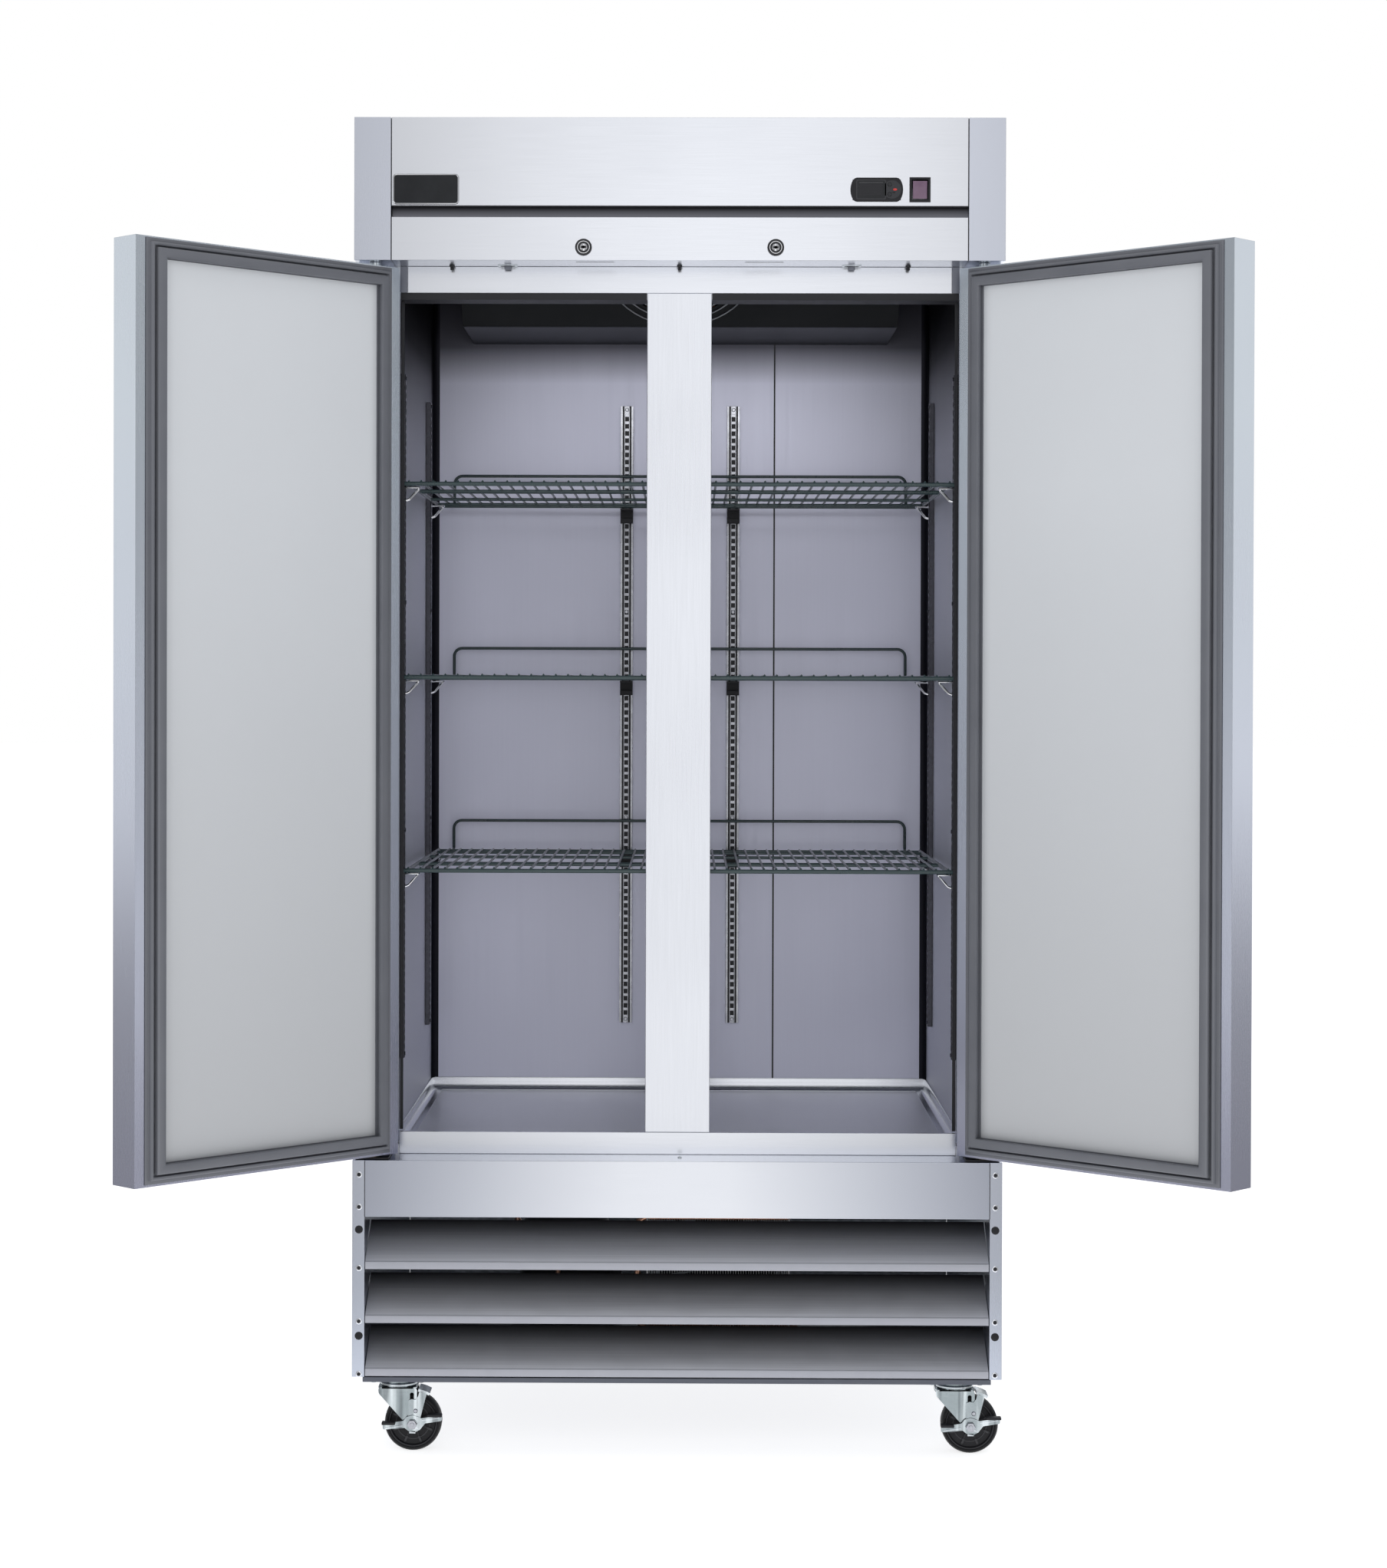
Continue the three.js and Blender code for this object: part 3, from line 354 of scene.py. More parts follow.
CHROME = mottled("chrome_plating", (0.86, 0.87, 0.90), 0.12, 1.0, 120, (0.72, 0.73, 0.77), 0.4, 60, 0.05)
CHROME.emboss(CHROME.noise(500), 0.04, 0.0001)
CHANNEL = mottled("pilaster_chrome", (0.46, 0.47, 0.51), 0.28, 1.0, 120, (0.38, 0.39, 0.43), 0.4, 60, 0.05)
DARK_CHANNEL = mottled("pilaster_shaded_chrome", (0.10, 0.10, 0.12), 0.25, 1.0, 120, (0.06, 0.06, 0.07), 0.5,
                       60, 0.05)
ZINC = Finish("zinc_plating", (0.30, 0.345, 0.36), 0.2, 1.0)
ZINC.tint(ZINC.noise((70, 12, 4), 1.0), (0.70, 0.76, 0.78), 0, 0.9, 0.52, 0.66)
ZINC.tint(ZINC.noise((90, 14, 5), 1.0), (0.12, 0.14, 0.15), 0, 0.8, 0.54, 0.68).roughen(ZINC.noise(200), 0.05)
ZINC.emboss(ZINC.noise(260), 0.06, 0.0002)
ZINC.worn((0.85, 0.88, 0.93), 0.5)
GUARD_WIRE = mottled("fan_guard_wire", (0.40, 0.41, 0.45), 0.35, 0.8, 90, (0.28, 0.29, 0.32), 0.6, 200, 0.08)
YELLOW_ZINC = mottled("yellow_zinc_plating", (0.74, 0.56, 0.26), 0.3, 1.0, 90, (0.55, 0.50, 0.36), 0.7,
                      200, 0.1)

EPOXY = painted("green_epoxy_coat", (0.010, 0.028, 0.032), 0.32, (0.025, 0.055, 0.060), 500, 0.0002, 20)
EPOXY.setting(Coat_Weight=0.4, Coat_Roughness=0.2)
BLACK_PAINT = painted("black_paint", (0.014, 0.014, 0.016), 0.4, (0.05, 0.05, 0.055))
BLACK_PLASTIC = painted("black_moulded_plastic", (0.012, 0.012, 0.014), 0.45, (0.04, 0.04, 0.045), 1200)
GREY_PLASTIC = painted("grey_moulded_plastic", (0.030, 0.031, 0.036), 0.4, (0.06, 0.06, 0.065), 1200)
# The evaporator cover is near-black: painted shade.
COVER_SHADE = painted("evaporator_cover_painted_shade", (0.012, 0.013, 0.015), 0.5, (0.028, 0.029, 0.032), 900)
DOOR_LINER = painted("door_liner_coat", (0.70, 0.72, 0.75), 0.42, (0.76, 0.78, 0.81), 260, 0.00015, 3)
# The door's inner panel darkens towards the bottom: painted shade.
DOOR_LINER.tint(DOOR_LINER.coordinate("Z"), (0.55, 0.56, 0.58), 1, 0, 0.5, 1.5)
RUBBER = painted("gasket_rubber", (0.128, 0.134, 0.155), 0.5, (0.18, 0.186, 0.208), 400, 0.0002, 12)
TYRE = painted("tyre_rubber", (0.007, 0.007, 0.008), 0.5, (0.02, 0.02, 0.022), 500, 0.0003, 30)
GLASS = painted("display_glass", (0.006, 0.007, 0.009), 0.08, (0.02, 0.022, 0.026), 300, 0.00001, 40)
GLASS.setting(Coat_Weight=0.12, Coat_Roughness=0.03)
ROCKER = painted("rocker_mauve_plastic", (0.145, 0.080, 0.135), 0.22, (0.24, 0.15, 0.23), 300, 0.00005, 60)
ROCKER.setting(Coat_Weight=0.15, Coat_Roughness=0.08)
LENS = painted("indicator_red_lens", (0.45, 0.015, 0.012), 0.15, (0.7, 0.05, 0.04), 300, 0.00002, 90)
for dull in (GLASS, BLACK_PAINT, BLACK_PLASTIC, COVER_SHADE, GREY_PLASTIC, TYRE):
    dull.setting(Specular_IOR_Level=0.2)


# ---- shapes: each is a list of (points, faces) in millimetres ----
def block(x0, x1, y0, y1, z0, z1):
    """A box between two corners."""
    points = [(x, y, z) for x in (x0, x1) for y in (y0, y1) for z in (z0, z1)]
    faces = [(0, 1, 3, 2), (4, 6, 7, 5), (0, 4, 5, 1), (2, 3, 7, 6), (0, 2, 6, 4), (1, 5, 7, 3)]
    return [(points, faces)]


def along(axis, a, b, height):
    """A point from its two flat coordinates and its height on an axis."""
    return {"x": (height, a, b), "y": (a, height, b), "z": (a, b, height)}[axis]


def plate(axis, outline, low, high, holes=()):
    """A flat outline pushed along an axis, with holes through it."""
    loops = [list(outline), *[list(hole) for hole in holes]]
    rim = [point for loop in loops for point in loop]
    count = len(rim)
    if holes:
        caps = tessellate_polygon([[Vector((a, b, 0)) for a, b in loop] for loop in loops])
    else:
        caps = [tuple(range(count))]
    points = [along(axis, a, b, low) for a, b in rim] + [along(axis, a, b, high) for a, b in rim]
    faces = [tuple(cap) for cap in caps] + [tuple(i + count for i in reversed(cap)) for cap in caps]
    start = 0
    for loop in loops:
        for i in range(len(loop)):
            a, b = start + i, start + (i + 1) % len(loop)
            faces.append((a, b, b + count, a + count))
        start += len(loop)
    return [(points, faces)]


def circle(a, b, radius, sides=24, stretch=1.0):
    """A circle's outline about (a, b), stretched along its first axis."""
    angles = [i * (2 * math.pi / sides) for i in range(sides)]
    return [(a + radius * stretch * math.cos(angle), b + radius * math.sin(angle)) for angle in angles]


def bend(path, radius, steps=4, closed=False):
    """The path with its corners turned into arcs."""
    corners = [Vector(point) for point in path]
    made = [] if closed else [corners[0]]
    inner = range(len(corners)) if closed else range(1, len(corners) - 1)
    for i in inner:
        here, before, after = corners[i], corners[i - 1], corners[(i + 1) % len(corners)]
        back, on = (before - here), (after - here)
        half = back.angle(on) / 2
        cut = min(radius / math.tan(half), back.length * 0.49, on.length * 0.49)
        start, end, weight = here + back.normalized() * cut, here + on.normalized() * cut, math.sin(half)
        for step in range(steps + 1):
            t = step / steps
            a, b, c = (1 - t) ** 2, 2 * weight * t * (1 - t), t * t
            made.append((start * a + here * b + end * c) / (a + b + c))
    return made if closed else made + [corners[-1]]


def flat(path):
    """An outline for plate() from the points that bend() gives."""
    return [(point.x, point.y) for point in path]


def rounded(x0, x1, z0, z1, radius, steps=4):
    """The outline of a rectangle with round corners."""
    return flat(bend([(x0, z0), (x1, z0), (x1, z1), (x0, z1)], radius, steps, closed=True))


def tube(path, radius, sides=10, closed=False):
    """A round wire or pipe along a path, with flat ends."""
    path = [Vector(point) for point in path]
    count = len(path)
    rings, normal, before = [], None, None
    for i, point in enumerate(path):
        if closed:
            tangent = (path[(i + 1) % count] - path[i - 1]).normalized()
        else:
            tangent = (path[min(i + 1, count - 1)] - path[max(i - 1, 0)]).normalized()
        if normal is None:
            normal = tangent.orthogonal().normalized()
        else:
            normal = before.rotation_difference(tangent) @ normal
        before = tangent
        side = tangent.cross(normal)
        turn = 2 * math.pi / sides
        rings.append([point + (normal * math.cos(k * turn) + side * math.sin(k * turn)) * radius
                      for k in range(sides)])
    return [skin(rings, closed)]


def skin(rings, closed=False):
    """Faces between rings of points, with the first and last ring capped if they aren't joined."""
    sides, count = len(rings[0]), len(rings)
    points = [tuple(point) for ring in rings for point in ring]
    faces = []
    for i in range(count if closed else count - 1):
        a, b = i * sides, ((i + 1) % count) * sides
        for k in range(sides):
            n = (k + 1) % sides
            faces.append((a + k, a + n, b + n, b + k))
    if not closed:
        faces += [tuple(reversed(range(sides))), tuple(range((count - 1) * sides, count * sides))]
    return points, faces


def lathe(axis, a, b, profile, sides=32, closed=False):
    """A profile of (radius, height) turned about an axis through (a, b)."""
    turn = 2 * math.pi / sides
    rings = []
    for r, height in profile:
        rings.append([along(axis, a + r * math.cos(k * turn), b + r * math.sin(k * turn), height)
                      for k in range(sides)])
    return [skin(rings, closed)]


def moulding(axis, corners, profile, closed=True):
    """A closed profile of (inset, height) run past corners of ((a, b), (inward a, inward b)), mitred."""
    rings = [[along(axis, a + inset * da, b + inset * db, height) for inset, height in profile]
             for (a, b), (da, db) in corners]
    return [skin(rings, closed)]


def rectangle(a0, a1, b0, b1):
    """The corners of a rectangle for moulding()."""
    return [((a0, b0), (1, 1)), ((a1, b0), (-1, 1)), ((a1, b1), (-1, -1)), ((a0, b1), (1, -1))]


def moved(shapes, matrix):
    """The same shapes with every point carried by the matrix."""
    return [([tuple(matrix @ Vector(point)) for point in points], faces) for points, faces in shapes]


def span(node, place=CABINET):
    """x0, x1, y0, y1, z0, z1 of a CAD node in millimetres, in the frame of place."""
    inverse = place.inverted()
    points = [inverse @ vertex.co for vertex in frame["nodes"][node].data.vertices]
    return [edge(point[i] for point in points) for i in range(3) for edge in (min, max)]


# ---- pieces ----
def dressed(name, mesh, finishes, body, stands_for, bevel, steps):
    """Makes the object for a mesh that is already in metres at rest."""
    for finish in finishes:
        mesh.materials.append(finish.material)
    mesh.polygons.foreach_set("use_smooth", [True] * len(mesh.polygons))
    made = bpy.data.objects.new(name, mesh)
    bpy.context.scene.collection.objects.link(made)
    if bevel:
        edge = made.modifiers.new("edge", "BEVEL")
        edge.width, edge.segments, edge.limit_method = bevel * MM, steps, "ANGLE"
        edge.angle_limit = math.radians(35)
        edge.harden_normals = True
    else:
        mesh.set_sharp_from_angle(angle=math.radians(38))
    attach(made, body)
    if stands_for:
        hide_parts(*stands_for)
    return made


def piece(name, shapes, finish, body, stands_for=(), bevel=0.0, steps=2, place=CABINET, extra=()):
    """A piece from shapes. extra lists more (shapes, finish) pairs that belong to it."""
    points, faces, marks = [], [], []
    groups = [(shapes, finish), *extra]
    for index, (solids, _) in enumerate(groups):
        for corners, polygons in solids:
            start = len(points)
            points += [place @ Vector(corner) for corner in corners]
            faces += [tuple(start + i for i in polygon) for polygon in polygons]
            marks += [index] * len(polygons)
    mesh = bpy.data.meshes.new(name)
    mesh.from_pydata(points, [], faces)
    mesh.polygons.foreach_set("material_index", marks)
    work = bmesh.new()
    work.from_mesh(mesh)
    bmesh.ops.recalc_face_normals(work, faces=work.faces)
    work.to_mesh(mesh)
    work.free()
    return dressed(name, mesh, [group[1] for group in groups], body, stands_for, bevel, steps)


def refined(node, name, finish, bevel=0.6, steps=2):
    """A CAD node's own shape with its flat faces made whole and its edges rounded."""
    source = frame["nodes"][node]
    work = bmesh.new()
    work.from_mesh(source.data)
    bmesh.ops.remove_doubles(work, verts=work.verts, dist=1e-5)
    bmesh.ops.dissolve_limit(work, angle_limit=math.radians(0.5), verts=work.verts, edges=work.edges)
    work.verts.index_update()
    points = [vertex.co.copy() for vertex in work.verts]
    faces = [tuple(vertex.index for vertex in face.verts) for face in work.faces]
    work.free()
    mesh = bpy.data.meshes.new(name)
    mesh.from_pydata(points, [], faces)
    return dressed(name, mesh, [finish], source["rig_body"], [node], bevel, steps)


def screws(name, places, radius, body="cabinet", finish=None, place=CABINET, face="-y"):
    """Pan-head screws with a cross recess, each at (x, y, z) on a face that looks along -y, +y or +z."""
    heads, recess_shades = [], []
    for x, y, z in places:
        rise = radius * 0.45
        profile = [(radius, 0), (radius, -rise * 0.35), (radius * 0.85, -rise * 0.8), (radius * 0.5, -rise)]
        head = lathe("y", 0, 0, profile, 16)
        reach, wide = radius * 0.62, radius * 0.16
        # The cross recess is a black cross on the head: painted shade.
        cross = block(-reach, reach, -rise * 1.04, -rise * 0.5, -wide, wide)
        cross += block(-wide, wide, -rise * 1.04, -rise * 0.5, -reach, reach)
        turn = {
            "-y": Matrix.Identity(4),
            "+y": Matrix.Rotation(math.pi, 4, "Z"),
            "+z": Matrix.Rotation(-math.pi / 2, 4, "X"),
        }[face]
        where = Matrix.Translation((x, y, z)) @ turn
        heads += moved(head, where)
        recess_shades += moved(cross, where)
    piece(name, heads, finish or ZINC, body, place=place, extra=[(recess_shades, BLACK_PAINT)])


# ---- cabinet shell ----
for side, _ in SIDES:
    refined(f"side_wall_{side}", f"side_panel_{side}", SIDE_STEEL, 1.0, 3)
refined("roof_wall", "roof_panel", BRUSHED_Y, 0.8)
refined("rear_wall", "rear_panel", GALVANISED, 0.8)
refined("header_panel", "header_front", BRUSHED_X, 0.9, 3)
refined("lock_strip", "lock_strip_front", BRUSHED_X, 0.7, 3)
refined("fascia", "fascia_front", BRUSHED_X, 0.5)
refined("mullion", "mullion_front", BRUSHED_Z, 1.6, 3)
refined("sill", "sill_front", BRUSHED_X, 0.7)
refined("base_panel", "base_front", BASE_STEEL, 0.8, 3)
refined("base_deck", "deck_tray", DECK_SHADE, 0.8)
refined("floor_wall", "floor_box", LINER_FLOOR, 0.6)

STRIP = span("lock_strip")
FASCIA = span("fascia")
WALL = span("side_wall_right")
TOP, HALF_WIDTH, DEPTH = WALL[5], WALL[1], WALL[3]

# Breaker strips of black plastic round the doorways, between the outer metal and the liner.
DOORWAY_HALF = 436.6
MULLION = span("mullion")
SILL = span("sill")
breaker = []
for s in (-1, 1):
    outer, inner = s * DOORWAY_HALF, s * (MULLION[1] + 0.4)
    breaker += block(outer, inner, 73.0, 74.1, FASCIA[4] - 10.8, FASCIA[4] - 0.3)
    breaker += block(outer, inner, 73.0, 124.5, FASCIA[4] - 10.9, FASCIA[4] - 10.3)
    breaker += block(outer, s * 431.5, 90.4, 93, SILL[5] + 1, MULLION[5] - 11)
piece("breaker_strips", breaker, BLACK_PLASTIC, "cabinet", bevel=0.5)

# Black hairline strips in the gaps where the header, lock strip and base panel meet the side panels' front
# faces: painted shade.
GROOVE_TOP = 1936
SEAM_X, STILE_SEAM_X, SEAM_WIDTH = 444.2, 482.2, 0.8
seam_shades = []
for s in (-1, 1):
    for x, low, high in ((SEAM_X, GROOVE_TOP, TOP - 1.5), (SEAM_X, STRIP[4] + 1, STRIP[5]),
                         (STILE_SEAM_X, 376, 462)):
        seam_shades += block(s * x, s * (x + SEAM_WIDTH), -0.12, 0.5, low, high)
piece("panel_seam_shades", seam_shades, BLACK_PAINT, "cabinet")

# The recess between header and lock strip: its back sheet and the black sheet under the header, both painted
# shade.
GROOVE_HALF = SEAM_X + SEAM_WIDTH / 2
groove_back_shade = block(-GROOVE_HALF, GROOVE_HALF, 13.5, 14.3, STRIP[5] + 0.3, GROOVE_TOP - 0.9)
groove_top_shade = block(-GROOVE_HALF, GROOVE_HALF, 1.7, 14.3, GROOVE_TOP - 0.8, GROOVE_TOP - 0.2)
piece("header_groove", groove_back_shade, GROOVE_SHADE, "cabinet", extra=[(groove_top_shade, BLACK_PAINT)])

jambs = []
for x0, x1 in ((-437, -425.5), (425.5, 437)):
    jambs += block(x0, x1, 71.1, 71.8, FASCIA[4], FASCIA[5])
piece("fascia_jambs", jambs, SHADED_STEEL, "cabinet", bevel=0.2)


# ---- header: nameplate, controller, switch and locks ----
PLATE_X0, PLATE_X1, PLATE_Z0, PLATE_Z1 = -442, -340, 1937.4, 1984.6
plate_outline = rounded(PLATE_X0, PLATE_X1, PLATE_Z0, PLATE_Z1, 6)
inner_outline = rounded(PLATE_X0 + 3, PLATE_X1 - 3, PLATE_Z0 + 3, PLATE_Z1 - 3, 4)
piece("nameplate", plate("y", plate_outline, -1.0, -0.1), BLACK_PLASTIC, "cabinet",
      bevel=0.3, extra=[(plate("y", inner_outline, -1.25, -0.9), GLASS)])
rim = [(x, -1.1, z) for x, z in rounded(PLATE_X0 + 1.2, PLATE_X1 - 1.2, PLATE_Z0 + 1.2, PLATE_Z1 - 1.2, 5)]
piece("nameplate_rim", tube(rim, 1.1, 8, closed=True), CHROME, "cabinet")

BOX = span("controller")
BOX_Z = (BOX[4] + BOX[5]) / 2
BULGE = 10


def bulged(x0, x1, z0, z1, bulge, steps=10):
    """A rectangle whose left and right ends bow outwards."""
    middle, half = (z0 + z1) / 2, (z1 - z0) / 2
    right = [-math.pi / 2 + math.pi * i / steps for i in range(steps + 1)]
    outline = [(x1 - bulge + bulge * math.cos(a), middle + half * math.sin(a)) for a in right]
    return outline + [(x0 + bulge - bulge * math.cos(a), middle - half * math.sin(a)) for a in right]


BUTTONS = {row: span(f"controller_button_{row}") for row in ("upper", "lower")}
button_centres = [((b[0] + b[1]) / 2, (b[4] + b[5]) / 2) for b in BUTTONS.values()]
BUTTON_R = (BUTTONS["upper"][1] - BUTTONS["upper"][0]) / 2
sockets = [circle(x, z, BUTTON_R + 0.5, 20) for x, z in button_centres]
face = plate("y", bulged(BOX[0], BOX[1], BOX[4], BOX[5], BULGE), -2.4, -0.3, holes=sockets)
case = block(268, 338, -0.2, BOX[3], BOX_Z - 14, BOX_Z + 14)
piece("controller_case", face + case, BLACK_PLASTIC, "cabinet", ["controller"], bevel=0.9,
      steps=3)
bezel = plate("y", rounded(271, 317.5, BOX_Z - 15.5, BOX_Z + 15.5, 3), -2.95, -2.3)
pad = plate("y", circle(326.5, BOX_Z, 14.2, 40), -2.95, -2.3, holes=sockets)
piece("controller_bezel", bezel + pad, GREY_PLASTIC, "cabinet", bevel=0.35)
window = plate("y", rounded(273, 315.5, BOX_Z - 13.6, BOX_Z + 13.6, 2), -3.2, -2.8)
digits = plate("y", rounded(277, 311.5, BOX_Z - 9, BOX_Z + 8, 1), -3.3, -3.1)
# A grey bar across the top of the window stands for a reflection on the glass: painted reflection.
sheen_bar = block(276, 312.5, -3.3, -3.1, BOX_Z + 9.6, BOX_Z + 11.4)
piece("controller_window", window, GLASS, "cabinet", bevel=0.2,
      extra=[(digits, BLACK_PLASTIC), (sheen_bar, GREY_PLASTIC)])
indicator = plate("y", circle(331, BOX_Z, 1.8, 20, 1.7), -3.5, -2.9)
piece("controller_indicator", indicator, LENS, "cabinet", bevel=0.3)
for row, (x, z) in zip(BUTTONS, button_centres):
    crown = [(BUTTON_R, 0.4), (BUTTON_R, -3.5), (BUTTON_R - 0.4, -3.9), (BUTTON_R - 1.0, -3.9), (0.8, -3.3)]
    piece(f"button_cap_{row}", lathe("y", x, z, crown, 24), GREY_PLASTIC, f"button_{row}",
          [f"controller_button_{row}"])

ROCKER_PIVOT = Vector(JOINTS["rocker_switch_tilt"]["pos_m"])
ROCKER_LEAN = Matrix.Rotation(math.radians(7), 4, "X")
PADDLE_PLACE = Matrix.Translation(ROCKER_PIVOT) @ ROCKER_LEAN @ Matrix.Scale(MM, 4)
paddle_side = [(-4.2, -13.6)]
paddle_side += [(-4.2 + 1.9 * math.cos(math.pi / 2 * t / 6), 13 * t / 6) for t in range(-6, 7)]
paddle_side += [(-4.2, 13.6), (7.5, 9.8), (7.5, -9.8)]
piece("rocker_paddle", plate("x", paddle_side, -10.9, 10.9), ROCKER, "rocker",
      ["rocker_switch"], bevel=0.8, steps=3, place=PADDLE_PLACE)
RX, RZ = ROCKER_PIVOT.x / MM, ROCKER_PIVOT.z / MM
frame_corners = rectangle(RX - 16.2, RX + 16.2, RZ - 19.2, RZ + 19.2)
frame_section = [(0, -0.2), (0, -1.4), (0.8, -2.3), (2.8, -2.3), (4.0, -1.4), (4.0, 4), (3.2, 4), (3.2, -0.2)]
piece("rocker_bezel", moulding("y", frame_corners, frame_section), BLACK_PLASTIC, "cabinet",
      bevel=0.4)


def lock_plug(side, s):
    """A cylinder lock: black rose, bright collar, black ring, bright core with a keyhole, and its cam."""
    lock = span(f"lock_cylinder_{side}")
    pivot = Vector(JOINTS[f"lock_{side}_turn"]["pos_m"]) / MM
    x, z = pivot.x, pivot.z
    collar = [(10.0, -0.3), (10.0, -2.2), (9.6, -2.9), (8.9, -2.9), (8.5, -2.4), (8.3, -1.4), (8.3, -0.3)]
    rose = lathe("y", x, z, [(12.9, -0.3), (12.9, -2.6), (12.4, -3.0), (10.0, -3.0), (10.0, -0.3)], 40)
    barrel = lathe("y", x, z, [(8.2, -0.6), (8.2, 20.4)], 28)
    cam_tip = x - s * (lock[1] - lock[0] - 12)
    cam = block(x + s * 6, cam_tip, lock[3] - 4, lock[3] - 1, z - 6, z + 6)
    core = lathe("y", x, z, [(5.6, -0.9), (5.6, -2.7), (5.2, -3.0)], 28)
    ring = lathe("y", x, z, [(8.3, -0.7), (8.3, -2.6), (5.4, -2.6)], 28)
    # The keyhole is a black slot on the core: painted shade.
    keyhole = block(x - 4.4, x + 4.4, -3.3, -2.5, z - 1.5, z + 1.5)
    keyhole += lathe("y", x, z, [(2.6, -2.5), (2.6, -3.3)], 16)
    piece(f"lock_plug_{side}", lathe("y", x, z, collar, 40) + barrel + cam + core, CHROME, f"lock_{side}",
          [f"lock_cylinder_{side}"], extra=[(rose + ring + keyhole, BLACK_PAINT)])


def door_switch(side):
    """The T-shaped lever that the door presses, and the frame of the slot that it hangs from."""
    bar = span(f"door_switch_lever_{side}")
    x = (bar[0] + bar[1]) / 2
    tongue = block(x - 5, x + 5, bar[2] + 0.5, bar[3] - 0.5, bar[4], bar[5] - 1)
    tongue += block(x - 9, x + 9, bar[2], bar[3], bar[5] - 4, bar[5])
    body = JOINTS[f"switch_lever_{side}_press"]["child"]
    piece(f"switch_tongue_{side}", tongue, SHADED_STEEL, body, [f"door_switch_lever_{side}"], bevel=0.6)
    slot_frame = [(0, STRIP[4] - 0.2), (0, STRIP[4] - 1.1), (4, STRIP[4] - 1.1), (4, STRIP[4] - 0.2)]
    slot_corners = rectangle(x - 15, x + 15, bar[2] - 7, bar[3] + 7)
    piece(f"switch_slot_{side}", moulding("z", slot_corners, slot_frame), ZINC, "cabinet")


for side, s in SIDES:
    lock_plug(side, s)
    door_switch(side)

# Bolt ends hanging from the soffit above the doors.
bolt_end = [(1.8, 1844.6), (2.6, 1845.2), (2.6, 1849.4), (4.2, 1849.8), (4.2, STRIP[4] - 0.3)]
bolts = []
for x in (-355, 0, 356):
    bolts += lathe("z", x, 60, bolt_end, 16)
piece("soffit_bolts", bolts, BLACK_PAINT, "cabinet")

# ---- base: screws, plugs, louvres and lower hinges ----
BASE = span("base_panel")
STILE_X = HALF_WIDTH - 10.5
STILE_RISE = {-1: 0, 1: 2.5}  # the right stile's fixings sit a little higher
SCREW_HEIGHTS, PLUG_HEIGHTS = (441, 391, 296.5, 214, 132.2), (356, 191.5)
stile_screws = [(s * STILE_X, 0, z + STILE_RISE[s]) for s in (-1, 1) for z in SCREW_HEIGHTS]
screws("stile_screws", stile_screws, 3.0, finish=BLACK_PAINT)
washers = []
for x, y, z in stile_screws:
    washers += lathe("y", x, z, [(4.8, 0), (4.8, -0.35), (4.3, -0.6), (3.0, -0.6), (3.0, 0)], 24)
piece("stile_washers", washers, BRUSHED_X, "cabinet")
plug = [(6.2, 0), (6.2, -0.7), (5.2, -1.3), (3.0, -1.5)]
plugs = []
for s in (-1, 1):
    for z in PLUG_HEIGHTS:
        plugs += lathe("y", s * STILE_X, z + STILE_RISE[s], plug, 24)
piece("stile_plugs", plugs, BLACK_PLASTIC, "cabinet")
screws("ledge_screw", [(4, 40, BASE[5])], 3.2, face="+z")

for row in ("upper", "middle", "lower"):
    x0, x1, _, back, low, high = span(f"louvre_{row}")
    lip = high - 50
    outline = bend([(0.9, low + 5), (0, low), (0, lip), (back - 1, high)], 1.6, 4)
    inside = bend([(back, high - 1.5), (1.8, lip - 1.4), (1.6, low + 1.2), (1.9, low + 5)], 1.0, 4)
    sheet = plate("x", flat(outline + inside), x0 + 1, x1 - 1)
    piece(f"louvre_blade_{row}", sheet, LOUVRE, "cabinet", [f"louvre_{row}"])
side_liners = []
for s in (-1, 1):
    side_liners += block(s * (x1 - 0.8), s * (x1 - 0.2), 3, 95, BASE[4] + 1, 374)
piece("compartment_liners", side_liners, BLACK_PAINT, "cabinet")

nuts = []
for x in (-472, -398, 398, 472):
    for y in (42, 102, DEPTH - 102, DEPTH - 42):
        nuts += lathe("z", x, y, [(4, 110.5), (5.5, 111.5), (5.5, 114.5)], 6)
piece("caster_nuts", nuts, ZINC, "cabinet")

for side, _ in SIDES:
    refined(f"hinge_bracket_{side}", f"lower_hinge_{side}", BLACK_PAINT, 0.7)
    pivot = Vector(JOINTS[f"door_{side}_swing"]["pos_m"]) / MM
    pivot.y -= FRONT / MM
    bush = lathe("z", pivot.x, pivot.y, [(9.2, 466.15), (9.2, 469.2)], 6)
    collar = lathe("z", pivot.x, pivot.y, [(7.4, 469.0), (7.4, 469.4)], 24)
    piece(f"hinge_bush_{side}", bush + collar, YELLOW_ZINC, "cabinet", bevel=0.3)
    cap = lathe("z", pivot.x, pivot.y, [(8.6, 1844.3), (8.6, 1851.6)], 24)
    piece(f"upper_hinge_collar_{side}", cap, ZINC, "cabinet", bevel=0.5)


# ---- interior ----
LINER_FACE, LINER_REAR, FLOOR_Z = span("liner_right")[0], span("liner_back")[2], span("liner_floor")[5]
liners = (("left", LINER_SIDE), ("right", LINER_SIDE), ("back", LINER), ("floor", LINER_FLOOR))
for wall, finish in liners:
    sheet = frame["nodes"][f"liner_{wall}"]
    sheet.data.materials.clear()
    sheet.data.materials.append(finish.material)

